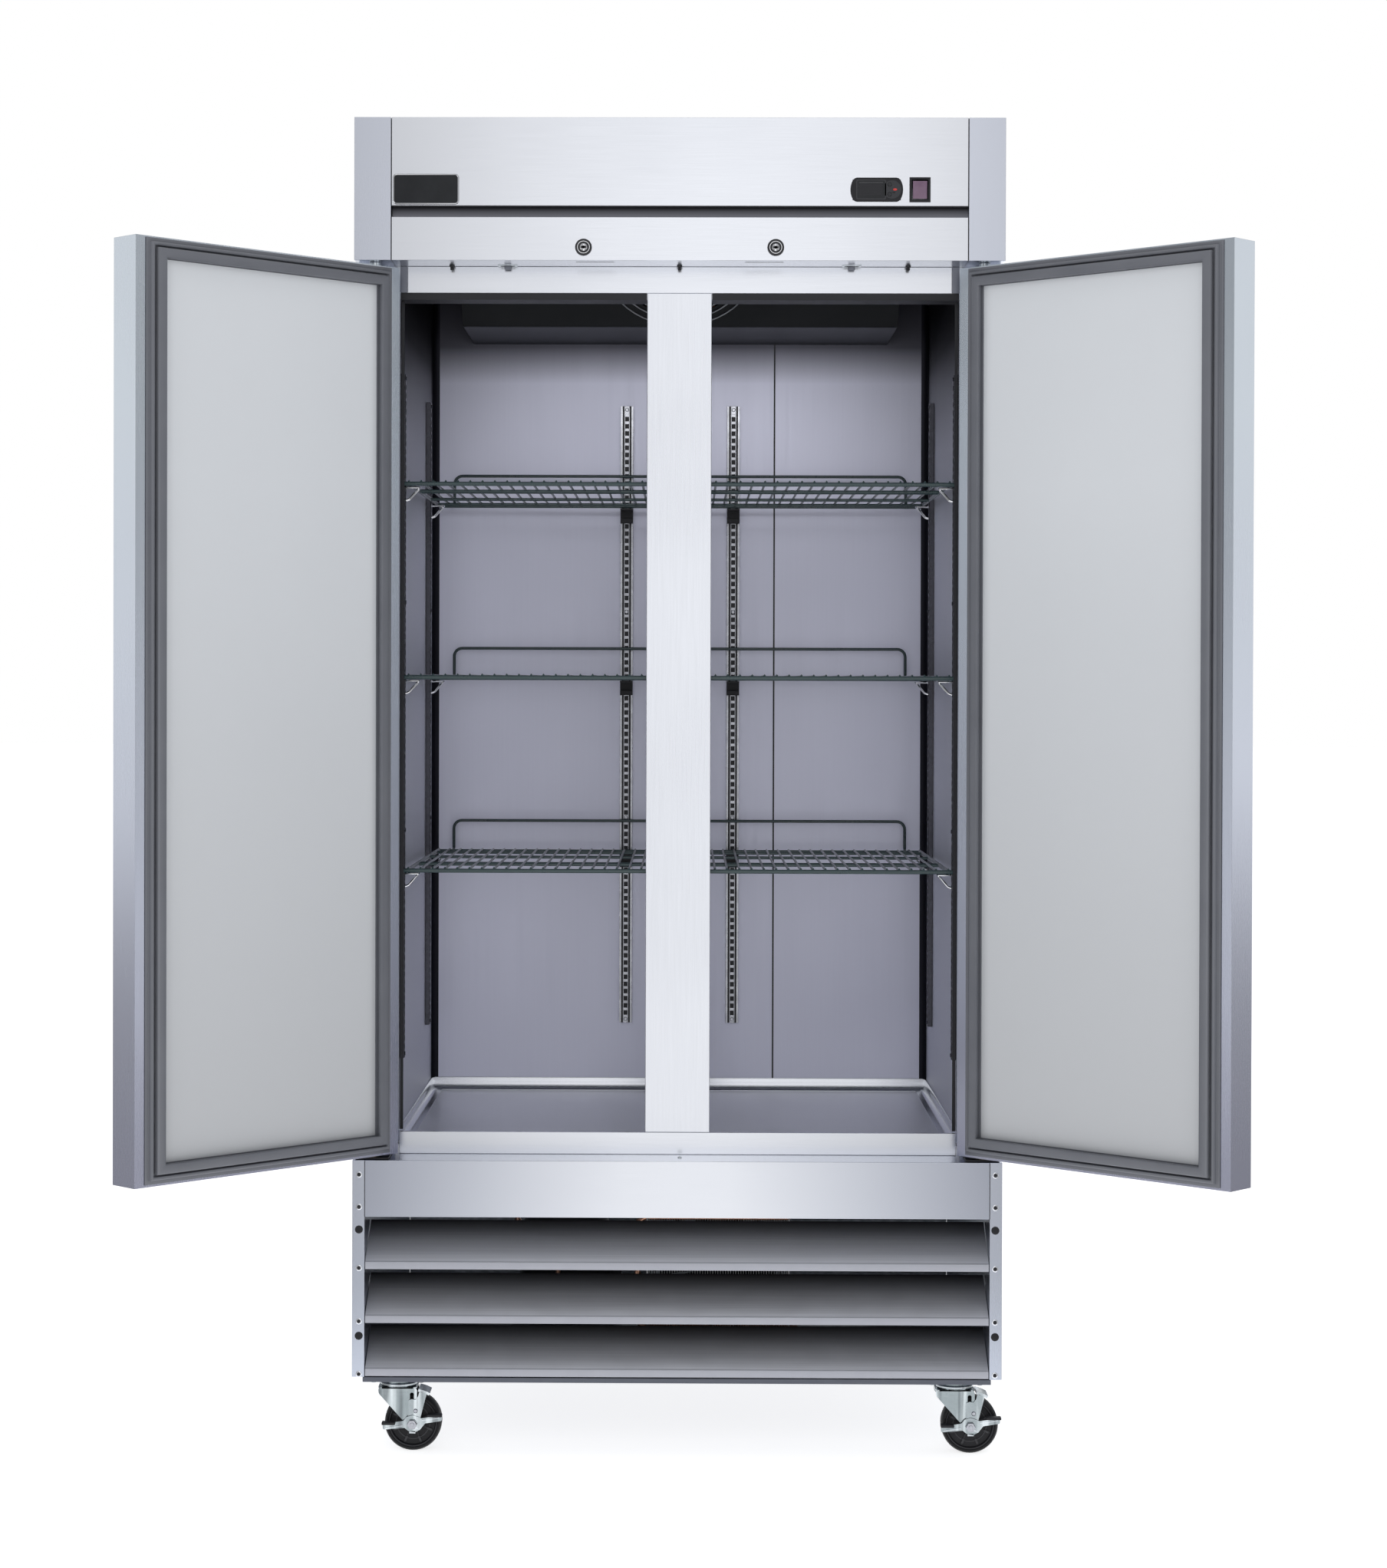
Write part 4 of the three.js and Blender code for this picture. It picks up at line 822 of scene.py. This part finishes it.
LINER_FRONT = span("liner_left")[2]
walls = [((-LINER_FACE, LINER_FRONT), (1, 0)), ((-LINER_FACE, LINER_REAR), (1, -1)),
         ((LINER_FACE, LINER_REAR), (-1, -1)), ((LINER_FACE, LINER_FRONT), (-1, 0))]
cove = [(0.2, FLOOR_Z + 20), (1.6, FLOOR_Z + 20.4), (2.4, FLOOR_Z + 19), (2.6, FLOOR_Z + 12)]
cove += [(2.6 + 11 * (1 - math.cos(a)), FLOOR_Z + 12 - 11 * math.sin(a)) for a in (0.3, 0.6, 0.9, 1.2, 1.5)]
cove += [(20, FLOOR_Z + 0.7), (20, FLOOR_Z + 0.1), (0.2, FLOOR_Z + 0.1)]
piece("floor_cove", moulding("z", walls, cove, closed=False), BRUSHED_X, "cabinet")
COVER = span("evaporator_cover")
# The near-black fillets in the back corners and the black line at the back sheet's seam: painted shade.
CORNER_R, CORNER_GAP = 12, 0.2
quarter_turn = [math.pi / 2 * i / 8 for i in range(9)]
fillets = []
for s in (-1, 1):
    arc = [(s * (LINER_FACE - CORNER_GAP - CORNER_R + CORNER_R * math.sin(a)),
            LINER_REAR - CORNER_GAP - CORNER_R + CORNER_R * math.cos(a)) for a in quarter_turn]
    corner = (s * (LINER_FACE - CORNER_GAP), LINER_REAR - CORNER_GAP)
    fillets += plate("z", [*arc, corner], FLOOR_Z + 20, 1989)
seam = block(165.9, 168.7, LINER_REAR - 0.3, LINER_REAR - 0.05, FLOOR_Z + 20, COVER[4])
piece("liner_corners", fillets, LINER_CORNER_SHADE, "cabinet", extra=[(seam, BLACK_PAINT)])

refined("evaporator_cover", "evaporator_housing", COVER_SHADE, 1.0, 3)
pan = block(COVER[0] + 2, COVER[1] - 2, 472, COVER[3] - 1, COVER[4] - 0.9, COVER[4] - 0.1)
piece("evaporator_pan_painted_shade", pan, PAN_SHADE, "cabinet", bevel=0.3)
FAN_HUB = Vector(JOINTS["evaporator_fan_spin"]["pos_m"])
FAN_PLACE = Matrix.Translation(FAN_HUB) @ Matrix.Rotation(math.radians(45), 4, "X") @ Matrix.Scale(MM, 4)
FAN_BEHIND = 14  # the fan's middle plane lies this far behind the cover's slanted face


def fan_blades(radius, hub, blades, pitch, thick=1.6):
    """Swept, twisted fan blades about the y axis, with a round hub."""
    rows, columns = 8, 7
    shapes = lathe("y", 0, 0, [(hub - 3, -9), (hub, -6), (hub, 8), (hub - 2, 9)], 32)
    for index in range(blades):
        root = 2 * math.pi * index / blades
        sheets = []
        for offset in (-thick / 2, thick / 2):
            sheet = []
            for i in range(rows):
                r = hub - 1 + (radius - hub) * i / (rows - 1)
                reach = (1.15 - 0.35 * i / (rows - 1)) * math.pi / blades
                lean = 0.25 * (i / (rows - 1)) ** 2
                for j in range(columns):
                    t = j / (columns - 1) * 2 - 1
                    angle = root + lean + t * reach
                    height = pitch * t * (1 - 0.35 * i / (rows - 1)) + 1.5 * t * t + offset
                    sheet.append((r * math.cos(angle), height, r * math.sin(angle)))
            sheets += sheet
        count = rows * columns
        faces = []
        for i in range(rows - 1):
            for j in range(columns - 1):
                a = i * columns + j
                quad = (a, a + 1, a + columns + 1, a + columns)
                faces += [quad, tuple(k + count for k in reversed(quad))]
        loop = [j for j in range(columns)] + [i * columns + columns - 1 for i in range(1, rows)]
        loop += [(rows - 1) * columns + j for j in range(columns - 2, -1, -1)]
        loop += [i * columns for i in range(rows - 2, 0, -1)]
        for k, a in enumerate(loop):
            b = loop[(k + 1) % len(loop)]
            faces.append((a, b, b + count, a + count))
        shapes.append((sheets, faces))
    return shapes


piece("evaporator_fan_blades", fan_blades(98, 22, 5, 7), BLACK_PLASTIC, "evaporator_fan",
      ["evaporator_fan"], place=FAN_PLACE)


def guard(radius, front, wire, rings, spokes):
    """A fan guard of concentric wires on spokes, in the plane y = front."""
    shapes = []
    for i in range(1, rings + 1):
        r = radius * i / rings
        dome = front - 6 * (1 - (r / radius) ** 2)
        path = [(r * math.cos(a), dome, r * math.sin(a)) for a in [2 * math.pi * k / 48 for k in range(48)]]
        shapes += tube(path, wire, 6, closed=True)
    for k in range(spokes):
        a = 2 * math.pi * k / spokes + 0.4
        path = [(r * math.cos(a), front - 6 * (1 - (r / radius) ** 2) - wire, r * math.sin(a))
                for r in [12 + (radius - 12) * i / 6 for i in range(7)]]
        shapes += tube(path, wire * 1.2, 6)
    shapes += lathe("y", 0, 0, [(13, front - 8.6), (14, front - 7.4), (14, front - 6.2)], 24)
    return shapes


guard_wires = guard(126, -FAN_BEHIND - 2.4, 1.3, 9, 6)
piece("evaporator_fan_guard", guard_wires, GUARD_WIRE, "cabinet", place=FAN_PLACE)
fan_arms = []
for k in range(4):
    arm = block(18, 110, 12, 15, -4, 4)
    fan_arms += moved(arm, Matrix.Rotation(math.pi / 2 * k + 0.78, 4, "Y"))
fan_arms += lathe("y", 0, 0, [(26, 12), (28, 14), (28, 44), (24, 48)], 32)
piece("evaporator_fan_motor", fan_arms, BLACK_PAINT, "cabinet", place=FAN_PLACE, bevel=0.5)


def finned(box, fins, columns, rows, tube_r):
    """Plate fins on hairpin tubes: the fins' shapes and the tubes' shapes."""
    x0, x1, y0, y1, z0, z1 = box
    sheets = block(x0, x0 + 2, y0, y1, z0, z1) + block(x1 - 2, x1, y0, y1, z0, z1)
    for i in range(1, fins):
        x = x0 + (x1 - x0) * i / fins
        sheets += block(x - 0.25, x + 0.25, y0 + 1, y1 - 1, z0 + 1, z1 - 1)
    pipes = []
    for column in range(columns):
        y = y0 + (y1 - y0) * (column + 0.5) / columns
        for row in range(rows):
            z = z0 + (z1 - z0) * (row + 0.5) / rows
            pipes += tube([(x0 - 1, y, z), (x1 + 1, y, z)], tube_r, 10)
        for row in range(rows - 1):
            low, high = (z0 + (z1 - z0) * (row + k + 0.5) / rows for k in (0, 1))
            x, out = (x0, -1) if row % 2 else (x1, 1)
            half = (high - low) / 2
            turn = [(x + out * (1 + half * 0.8 * math.sin(a)), y, (low + high) / 2 - half * math.cos(a))
                    for a in [math.pi * k / 8 for k in range(9)]]
            pipes += tube(turn, tube_r, 10)
    return sheets, pipes


for name, fins, columns, rows in (("evaporator", 90, 3, 5), ("condenser", 56, 2, 7)):
    x0, x1, y0, y1, z0, z1 = span(f"{name}_coil")
    sheets, pipes = finned((x0 + 14, x1 - 14, y0, y1, z0 + 0.5, z1), fins, columns, rows, 4.5)
    piece(f"{name}_fins", sheets, FINS, "cabinet", [f"{name}_coil"], extra=[(pipes, COPPER)])


# ---- pilasters: slotted channels with a ladder web ----
SLOT_PITCH = 12.7


def pilaster(half, depth, low, high):
    """A channel in its own frame: x across, y from the wall (0) to the front (-depth), z up."""
    # The black parts stand for the shade in the grooves and behind the ladder web: painted shade.
    bright, shade_parts = [], []
    for s in (-1, 1):
        bright += block(s * half, s * (half - 3.6), -depth + 0.8, -0.2, low, high)
        shade_parts += block(s * (half - 3.6), s * (half - 6.5), -depth + 1.4, -0.4, low, high)
    web = half - 6.5
    bright += block(-web, -web + 1.3, -depth, -1, low, high) + block(web - 1.3, web, -depth, -1, low, high)
    shade_parts += block(-web + 1.3, web - 1.3, -depth + 1.8, -0.6, low + 1, high - 1)
    count = int((high - low - 24) / SLOT_PITCH)
    start = low + 14
    bright += block(-web + 1.3, web - 1.3, -depth, -depth + 1.2, low, start)
    for i in range(count):
        z = start + i * SLOT_PITCH
        bright += block(-web + 1.3, web - 1.3, -depth, -depth + 1.2, z + 7.8, z + SLOT_PITCH)
    bright += block(-web + 1.3, web - 1.3, -depth, -depth + 1.2, start + count * SLOT_PITCH, high)
    for z in (low + 6.5, low + (high - low) / 3, low + (high - low) * 2 / 3, high - 6.5):
        bright += lathe("y", 0, z, [(3.4, -depth), (3.4, -depth - 0.5), (2.6, -depth - 1.2)], 16)
    return bright, shade_parts


def pilaster_piece(name, x, y, quarter):
    """The pilaster that stands for a CAD node, turned about z to face away from its wall."""
    x0, x1, y0, y1, z0, z1 = span(f"pilaster_{name}")
    half, depth = (x1 - x0) / 2, y1 - y0
    if quarter:
        half, depth = (y1 - y0) / 2, x1 - x0
    bright, shade_parts = pilaster(half, depth, z0, z1)
    where = Matrix.Translation((x, y, 0)) @ Matrix.Rotation(math.radians(quarter), 4, "Z")
    # The side walls' pilasters take the shaded copy of the chrome: painted shade.
    finish = DARK_CHANNEL if quarter else CHANNEL
    piece(f"shelf_pilaster_{name}", moved(bright, where), finish, "cabinet", [f"pilaster_{name}"],
          bevel=0.25, steps=1, extra=[(moved(shade_parts, where), BLACK_PAINT)])


for side, s in SIDES:
    for row in ("front", "rear"):
        x0, x1, y0, y1, _, _ = span(f"pilaster_{side}_{row}")
        pilaster_piece(f"{side}_{row}", x1 if s > 0 else x0, (y0 + y1) / 2, -90 if s > 0 else 90)
    x0, x1, _, y1, _, _ = span(f"pilaster_back_{side}")
    pilaster_piece(f"back_{side}", (x0 + x1) / 2, y1, 0)


# ---- wire shelves ----
BACKSTOP = 51  # height of the raised rear wire above the shelf


def shelf(name):
    """An epoxy-coated wire shelf: a front rail, cross rods, turned-in ends, deck wires and a backstop."""
    node = f"shelf_{name}"
    x0, x1, y0, y1, low, high = span(node)
    top = high - BACKSTOP
    rail_z, rail_r, wire_r = top - 4.6, 3.3, 1.9
    front, back = y0 + rail_r, y1 - rail_r
    wires = tube([(x0 + 0.6, front, rail_z), (x1 - 0.6, front, rail_z)], rail_r, 16)
    inside = x1 - 10.5
    for y in (front + 180, front + 205, front + 400, back - 60, back):
        wires += tube([(-inside, y, rail_z), (inside, y, rail_z)], 2.6, 10)
    for s in (-1, 1):
        edge = bend([(s * (x1 - 0.8), front, rail_z), (s * (x1 - 4), front + 14, rail_z),
                     (s * inside, front + 30, rail_z), (s * inside, back, rail_z)], 8, 4)
        wires += tube(edge, 2.8, 10)
    count = 44
    for i in range(count + 1):
        x = -inside + 2 * inside * i / count
        path = [(x, front - 1.2, rail_z + rail_r + 0.2), (x, front + 1.5, top - wire_r),
                (x, back, top - wire_r)]
        wires += tube(bend(path, 3, 3), wire_r, 8)
        weld = [(1.9, rail_z + rail_r - 0.8), (1.5, top - 0.4), (0.5, top + 1.4)]
        wires += lathe("z", x, front - 0.4, weld, 8)
    stop = 399
    loop = bend([(-stop, back - 8, rail_z + 2), (-stop, back, rail_z + 4), (-stop, back, high - 2),
                 (stop, back, high - 2), (stop, back, rail_z + 4), (stop, back - 8, rail_z + 2)], 14, 6)
    wires += tube(loop, 2.6, 12)
    piece(f"wire_shelf_{name}", wires, EPOXY, "cabinet", [node])


clips, brackets = [], []
for name in ("upper", "middle", "lower"):
    shelf(name)
    x0, x1, y0, y1, low, high = span(f"shelf_{name}")
    under = high - BACKSTOP - 8.2
    for side, s in SIDES:
        rail = span(f"pilaster_back_{side}")
        middle = (rail[0] + rail[1]) / 2
        clips += block(middle - 11, middle + 11, rail[2] - 14, rail[2] - 0.4, under - 25, under - 17)
        clips += block(middle - 11, middle + 11, rail[2] - 5, rail[2] - 0.4, under - 25, under)
        clips += block(middle - 11, middle + 11, rail[2] - 26, rail[2] - 0.4, under - 3, under)
        for row in ("front", "rear"):
            rail = span(f"pilaster_{side}_{row}")
            wall, y = (rail[0] if s > 0 else rail[1]), (rail[2] + rail[3]) / 2
            near, far, rest = wall - s * 0.6, wall - s * 22, under - 1.8
            hook = [(near, y - 7, under - 22), (wall - s * 6, y - 7, under - 20), (far, y - 7, rest),
                    (far, y + 7, rest), (wall - s * 6, y + 7, under - 20), (near, y + 7, under - 22)]
            brackets += tube(bend(hook, 4, 4), 1.6, 8)
            for arm_y in (y - 7, y + 7):
                brackets += tube([(near, arm_y, rest), (far, arm_y, rest)], 1.6, 8)
piece("rear_shelf_clips", clips, BLACK_PLASTIC, "cabinet", bevel=0.6)
piece("side_shelf_hooks", brackets, CHROME, "cabinet")


# ---- doors ----
# The gasket's section from its inner edge: a bellows with a flat magnet pocket, then a soft outer lip.
GASKET_WIDTH = 29.8
GASKET = [(0.2, 0), (0.2, 1.2), (4.2, 2.0), (4.8, 3.4), (2.0, 4.4), (2.0, 5.4), (4.6, 6.2), (1.6, 6.9),
          (0.7, 8.2), (0.7, 12.4), (1.4, 13.6), (2.8, 14.2), (12.8, 14.2), (14.4, 13.4), (15.2, 11.8),
          (15.2, 8.4), (14.2, 6.8), (11.6, 6.2), (14.4, 5.2), (14.4, 4.2), (12.0, 3.2), (16.4, 2.0),
          (17.6, 2.4), (18.0, 6.2), (18.9, 7.9), (20.6, 8.6), (22.4, 8.2), (23.5, 6.8), (23.9, 2.6),
          (25.4, 1.6), (29.6, 1.1), (29.6, 0)]
PULL = (419.5, 460.5, 998.5, 1301.5)  # the handle pocket's edges, from the hinge and the floor

for side, s in SIDES:
    joint = JOINTS[f"door_{side}_swing"]
    closed_by = max(joint["range_deg"], key=abs)
    door = (
        Matrix.Translation((joint["pos_m"][0], joint["pos_m"][1], 0))
        @ Matrix.Rotation(math.radians(-closed_by), 4, "Z")
        @ Matrix.Diagonal((-s * MM, MM, MM, 1))
    )
    body = f"door_{side}"
    refined(f"door_skin_{side}", f"door_pan_{side}", DOOR_STEEL, 1.5, 3)
    u0, u1, y0, y1, z0, z1 = span(f"door_liner_{side}", door)
    panel = plate("y", rounded(u0, u1, z0, z1, 6), y0, y1 - 0.4)
    rim = [(0, y1 - 1.4), (0, y1), (1.2, y1 + 0.2), (4, y1 + 0.2), (6, y1 - 0.7), (6, y1 - 1.4)]
    panel += moulding("y", rectangle(u0, u1, z0, z1), rim)
    piece(f"door_inner_panel_{side}", panel, DOOR_LINER, body, [f"door_liner_{side}"],
          bevel=0.3, place=door)
    u0, u1, y0, y1, z0, z1 = span(f"door_gasket_{side}", door)
    ring = [(GASKET_WIDTH - inset, y0 + height) for inset, height in GASKET]
    seal = moulding("y", rectangle(u0, u1, z0, z1), ring)
    piece(f"door_seal_{side}", seal, RUBBER, body, [f"door_gasket_{side}"], place=door)
    y0 = span(f"door_skin_{side}", door)[2]
    cup = [(0, y0 - 1.4), (0, y0 - 0.2), (1.6, y0 + 0.2), (3.2, y0 + 0.2), (3.2, y0 - 0.6), (2, y0 - 1.4)]
    pull = moulding("y", rectangle(*PULL), cup)
    piece(f"door_pull_{side}", pull, BLACK_PLASTIC, body, bevel=0.3, place=door)


# ---- machine compartment ----
x0, x1, y0, y1, z0, z1 = span("compressor")
CX, CY = (x0 + x1) / 2, (y0 + y1) / 2
dome = [(60, 12), (74, 16), (79, 28), (80, 82), (84.5, 85), (84.5, 90), (80, 93), (78, 130), (72, 156),
        (58, 176), (36, 188), (12, 193)]
can = lathe("z", CX, CY, [(radius, z0 + height) for radius, height in dome], 48)
feet = []
for fx in (-1, 1):
    for fy in (-1, 1):
        feet += lathe("z", CX + fx * 82, CY + fy * 66, [(12, z0 + 0.3), (9, z0 + 5), (12, z0 + 9)], 20)
base_plate = plate("z", rounded(x0, x1, y0, y1, 16), z0 + 9.2, z0 + 12.4)
terminal = block(CX + 70, CX + 94, CY - 26, CY + 26, z0 + 52, z0 + 104)
piece("compressor_can", can + base_plate + terminal, BLACK_PAINT, "cabinet", ["compressor"],
      bevel=1.0, extra=[(feet, TYRE)])
discharge = [(-10, -70, 120), (-10, -110, 120), (-10, -110, 40), (140, -180, 40), (140, -340, 60)]
suction = [(-50, 50, 130), (-90, 90, 130), (-90, 90, 250)]
pipes = []
for path, radius in ((discharge, 4.2), (suction, 5.2)):
    pipes += tube(bend([(CX + x, CY + y, z0 + z) for x, y, z in path], 20, 6), radius, 12)
piece("refrigerant_pipes", pipes, COPPER, "cabinet")

hub = Vector(JOINTS["condenser_fan_spin"]["pos_m"]) / MM
hub.y -= FRONT / MM
fan_place = CABINET @ Matrix.Translation(hub)
piece("condenser_fan_blades", fan_blades(94, 24, 5, 10), BLACK_PAINT, "condenser_fan",
      ["condenser_fan"], place=fan_place)
motor = lathe("y", 0, 0, [(30, 14), (34, 17), (34, 62), (28, 68)], 36)
for k in range(3):
    arm = bend([(0, 50, 30), (0, 50, 108), (0, -14, 112)], 10, 4)
    motor += moved(tube(arm, 3, 10), Matrix.Rotation(2 * math.pi * k / 3 + 0.5, 4, "Y"))
shroud = [(100, -20), (101, -20), (101, 14), (104, 18), (103, 18.6), (100, 14.6)]
piece("condenser_fan_motor", motor + lathe("y", 0, 0, shroud, 48, closed=True), BLACK_PAINT, "cabinet",
      place=fan_place)

# ---- rear: seams and screws ----
rear_screws = [(x, DEPTH, z) for x in (-425, 0, 425) for z in (430, 900, 1400, 1900, 2050)]
rear_screws += [(x, DEPTH, z) for x in (-470, -160, 160, 470) for z in (150, 385)]
screws("rear_screws", rear_screws, 3.6, face="+y")
seam = block(-HALF_WIDTH + 1, HALF_WIDTH - 1, DEPTH - 0.1, DEPTH + 0.9, 402, 424)
piece("rear_seam_strip", seam, GALVANISED, "cabinet", bevel=0.3)


# ---- casters ----
CROWN = 97  # height of the fork's shoulder above the floor
FORK_LEFT = -31


def caster_wheel(label, place, trail, radius):
    """The tyre with its ribbed disc, turned about the axle."""
    wheel = span(f"caster_wheel_{label}", place)
    half = (wheel[3] - wheel[2] - 4) / 2
    tread = [(radius - 5.5, -half + 0.5), (radius - 2.6, -half + 0.3), (radius - 0.4, -half + 4), (radius, 0),
             (radius - 0.4, half - 4), (radius - 2.6, half - 0.3), (radius - 5.5, half - 0.5),
             (radius - 6.5, half - 2), (radius - 6.5, -half + 2)]
    tyre = lathe("y", trail, radius, tread, 56, closed=True)
    rim = [(radius - 6.4, -half + 1), (radius - 8.5, -half + 1), (radius - 10, -half + 5), (16, -half + 5.5),
           (13.5, -half + 3), (12.5, -half - 1.8), (6, -half - 1.8), (6, half + 1.8), (12.5, half + 1.8),
           (13.5, half - 3), (16, half - 5.5), (radius - 10, half - 5), (radius - 8.5, half - 1),
           (radius - 6.4, half - 1)]
    disc = lathe("y", trail, radius, rim, 48, closed=True)
    hoop = [(27, -half + 4.6), (27, -half + 5.8), (25.6, -half + 5.8), (25.6, -half + 4.6)]
    ribs = lathe("y", trail, radius, hoop, 48, closed=True)
    for k in range(8):
        turn = Matrix.Translation((trail, 0, radius)) @ Matrix.Rotation(math.pi / 4 * (k + 0.5), 4, "Y")
        disc += moved(block(13, radius - 9, -half + 4.5, half - 4.5, -1.2, 1.2), turn)
        ribs += moved(block(24, 32, -half + 3.0, -half + 5.8, -1.6, 1.6), turn)
    piece(f"wheel_tread_{label}", tyre, TYRE, f"wheel_{label}", [f"caster_wheel_{label}"],
          extra=[(disc, BLACK_PLASTIC), (ribs, GREY_PLASTIC)], place=place)


def caster_fork(label, place, trail, radius):
    """The fork's plates, the swivel race above them and the axle bolt through them."""
    body = f"caster_{label}"
    path = [(FORK_LEFT, CROWN + 4), (-30, CROWN - 6), (trail - 12, radius + 1), (trail - 9, radius - 8),
            (trail + 6, radius - 8), (trail + 7, radius + 4), (trail + 7, CROWN + 4)]
    outline = flat(bend(path, 6, 5, closed=True))
    window = rounded(trail - 4, trail + 2, radius + 35, radius + 48, 2.5)
    fork = plate("y", outline, -22, -19.4, holes=[window]) + plate("y", outline, 19.4, 22, holes=[window])
    fork += plate("z", rounded(FORK_LEFT, trail + 7, -22, 22, 6), CROWN + 1.4, CROWN + 4)
    piece(f"fork_plate_{label}", fork, ZINC, body, [f"caster_fork_{label}"], bevel=1.0, steps=3,
          place=place)
    top = span(f"caster_fork_{label}", place)[5]
    race = [(20, CROWN + 3.6), (27, CROWN + 4.4), (29, CROWN + 6.5), (29, CROWN + 9), (27.4, CROWN + 10.8),
            (25.4, CROWN + 11.4), (25.4, CROWN + 12.8), (27, CROWN + 13.6), (27, CROWN + 15), (24, top - 0.2)]
    bearing = lathe("z", 0, 0, race, 48)
    bearing += lathe("z", 0, 0, [(9, CROWN - 4), (10, CROWN - 3), (10, CROWN + 1.5)], 6)
    piece(f"swivel_race_{label}", bearing, ZINC, body, place=place)
    bolt = lathe("y", trail, radius, [(5, -27.6), (5, 27.6)], 24)
    for end in (-1, 1):
        hexagon = [(7.4, end * 27.4), (7.9, end * 27.8), (7.9, end * 31.2), (7.0, end * 32.0)]
        rivet = [(3.6, end * 21.8), (3.5, end * 25.2), (2.4, end * 26.2)]
        bolt += lathe("y", trail, radius, hexagon, 6)
        bolt += lathe("y", trail, radius, [(3.4, end * 31.8), (3.0, end * 33.0)], 16)
        bolt += lathe("y", trail + 5, radius + 20, rivet, 20)
    piece(f"axle_bolt_{label}", bolt, CHANNEL, body, place=place)


def caster_brake(side, spot):
    """The brake in the axle's own frame: the upright with its shoe on the fork, and the rocking pedal."""
    upright = bend([(-6.5, -6), (-6.5, 36.5), (-1, 38.5), (5, 37), (9, 43), (11, 51), (22, 46), (13.5, 13),
                    (9, -6)], 2.5, 3, closed=True)
    brake = plate("y", flat(upright), -24.4, -22.4, holes=[circle(0, 0, 5.6, 24)])
    arc = [math.radians(a) for a in range(60, 81, 4)]
    shoe = [(51 * math.cos(a), 51 * math.sin(a)) for a in arc]
    shoe += [(55 * math.cos(a), 55 * math.sin(a)) for a in reversed(arc)]
    brake += plate("y", shoe, -24.4, 15)
    piece(f"brake_upright_{side}", brake, ZINC, f"caster_front_{side}", bevel=0.6, place=spot)
    reach, back = 46, -24.7
    arms = bend([(-reach, -9), (-reach, 0), (-14, 5), (-9, 11), (0, 13.6), (9, 11), (14, 9), (reach, 13.5),
                 (reach, 5), (20, 1), (12, -9), (4, -13), (-6, -11), (-12, -6)], 2.5, 3, closed=True)
    pedal = plate("y", flat(arms), back - 2.2, back, holes=[circle(0, 0, 5.7, 24)])
    pedal += block(-4.5, 5, back - 2.2, back + 1, -14.6, -11)
    tilt = Matrix.Rotation(math.radians(-8), 4, "Y")
    for x0, x1, rise in ((-43, -15, -0.5), (15, 43, 4.0)):
        ridge = block(x0, x1, back - 3.4, back - 2, -1.0, 1.0)
        pedal += moved(ridge, Matrix.Translation((0, 0, rise)) @ tilt)
    pads = block(-reach - 1, -reach + 20, back - 13, back - 0.2, 0.4, 4.9)
    pads += block(reach - 22, reach + 1, back - 13, back - 0.2, 12.8, 17)
    piece(f"brake_plate_{side}", pedal, ZINC, f"brake_{side}", [f"caster_brake_{side}"], bevel=0.7,
          place=spot)
    piece(f"brake_treads_{side}", pads, BLACK_PLASTIC, f"brake_{side}", bevel=1.2, steps=3,
          place=spot)


for side, _ in SIDES:
    for row in ("front", "rear"):
        label = f"{row}_{side}"
        axle = JOINTS[f"wheel_{label}_roll"]["pos_m"]
        kingpin = JOINTS[f"caster_{label}_swivel"]["pos_m"]
        place = Matrix.Translation((kingpin[0], kingpin[1], 0)) @ Matrix.Scale(MM, 4)
        trail, radius = (axle[0] - kingpin[0]) / MM, axle[2] / MM
        caster_wheel(label, place, trail, radius)
        caster_fork(label, place, trail, radius)
        if row == "front":
            caster_brake(side, place @ Matrix.Translation((trail, 0, radius)))


# ---- floor ----
ground = bpy.data.meshes.new("ground")
ground.from_pydata([(-60, -60, 0), (60, -60, 0), (60, 60, 0), (-60, 60, 0)], [], [(0, 1, 2, 3)])
floor = bpy.data.objects.new("ground", ground)
bpy.context.scene.collection.objects.link(floor)
pale = Finish("pale_floor", (0.80, 0.80, 0.81), 0.7)
pale.tint(pale.noise(3), (0.78, 0.78, 0.79), 0, 0.5)
pale.setting(Emission_Color=(1, 1, 1, 1), Emission_Strength=0.76)
ground.materials.append(pale.material)
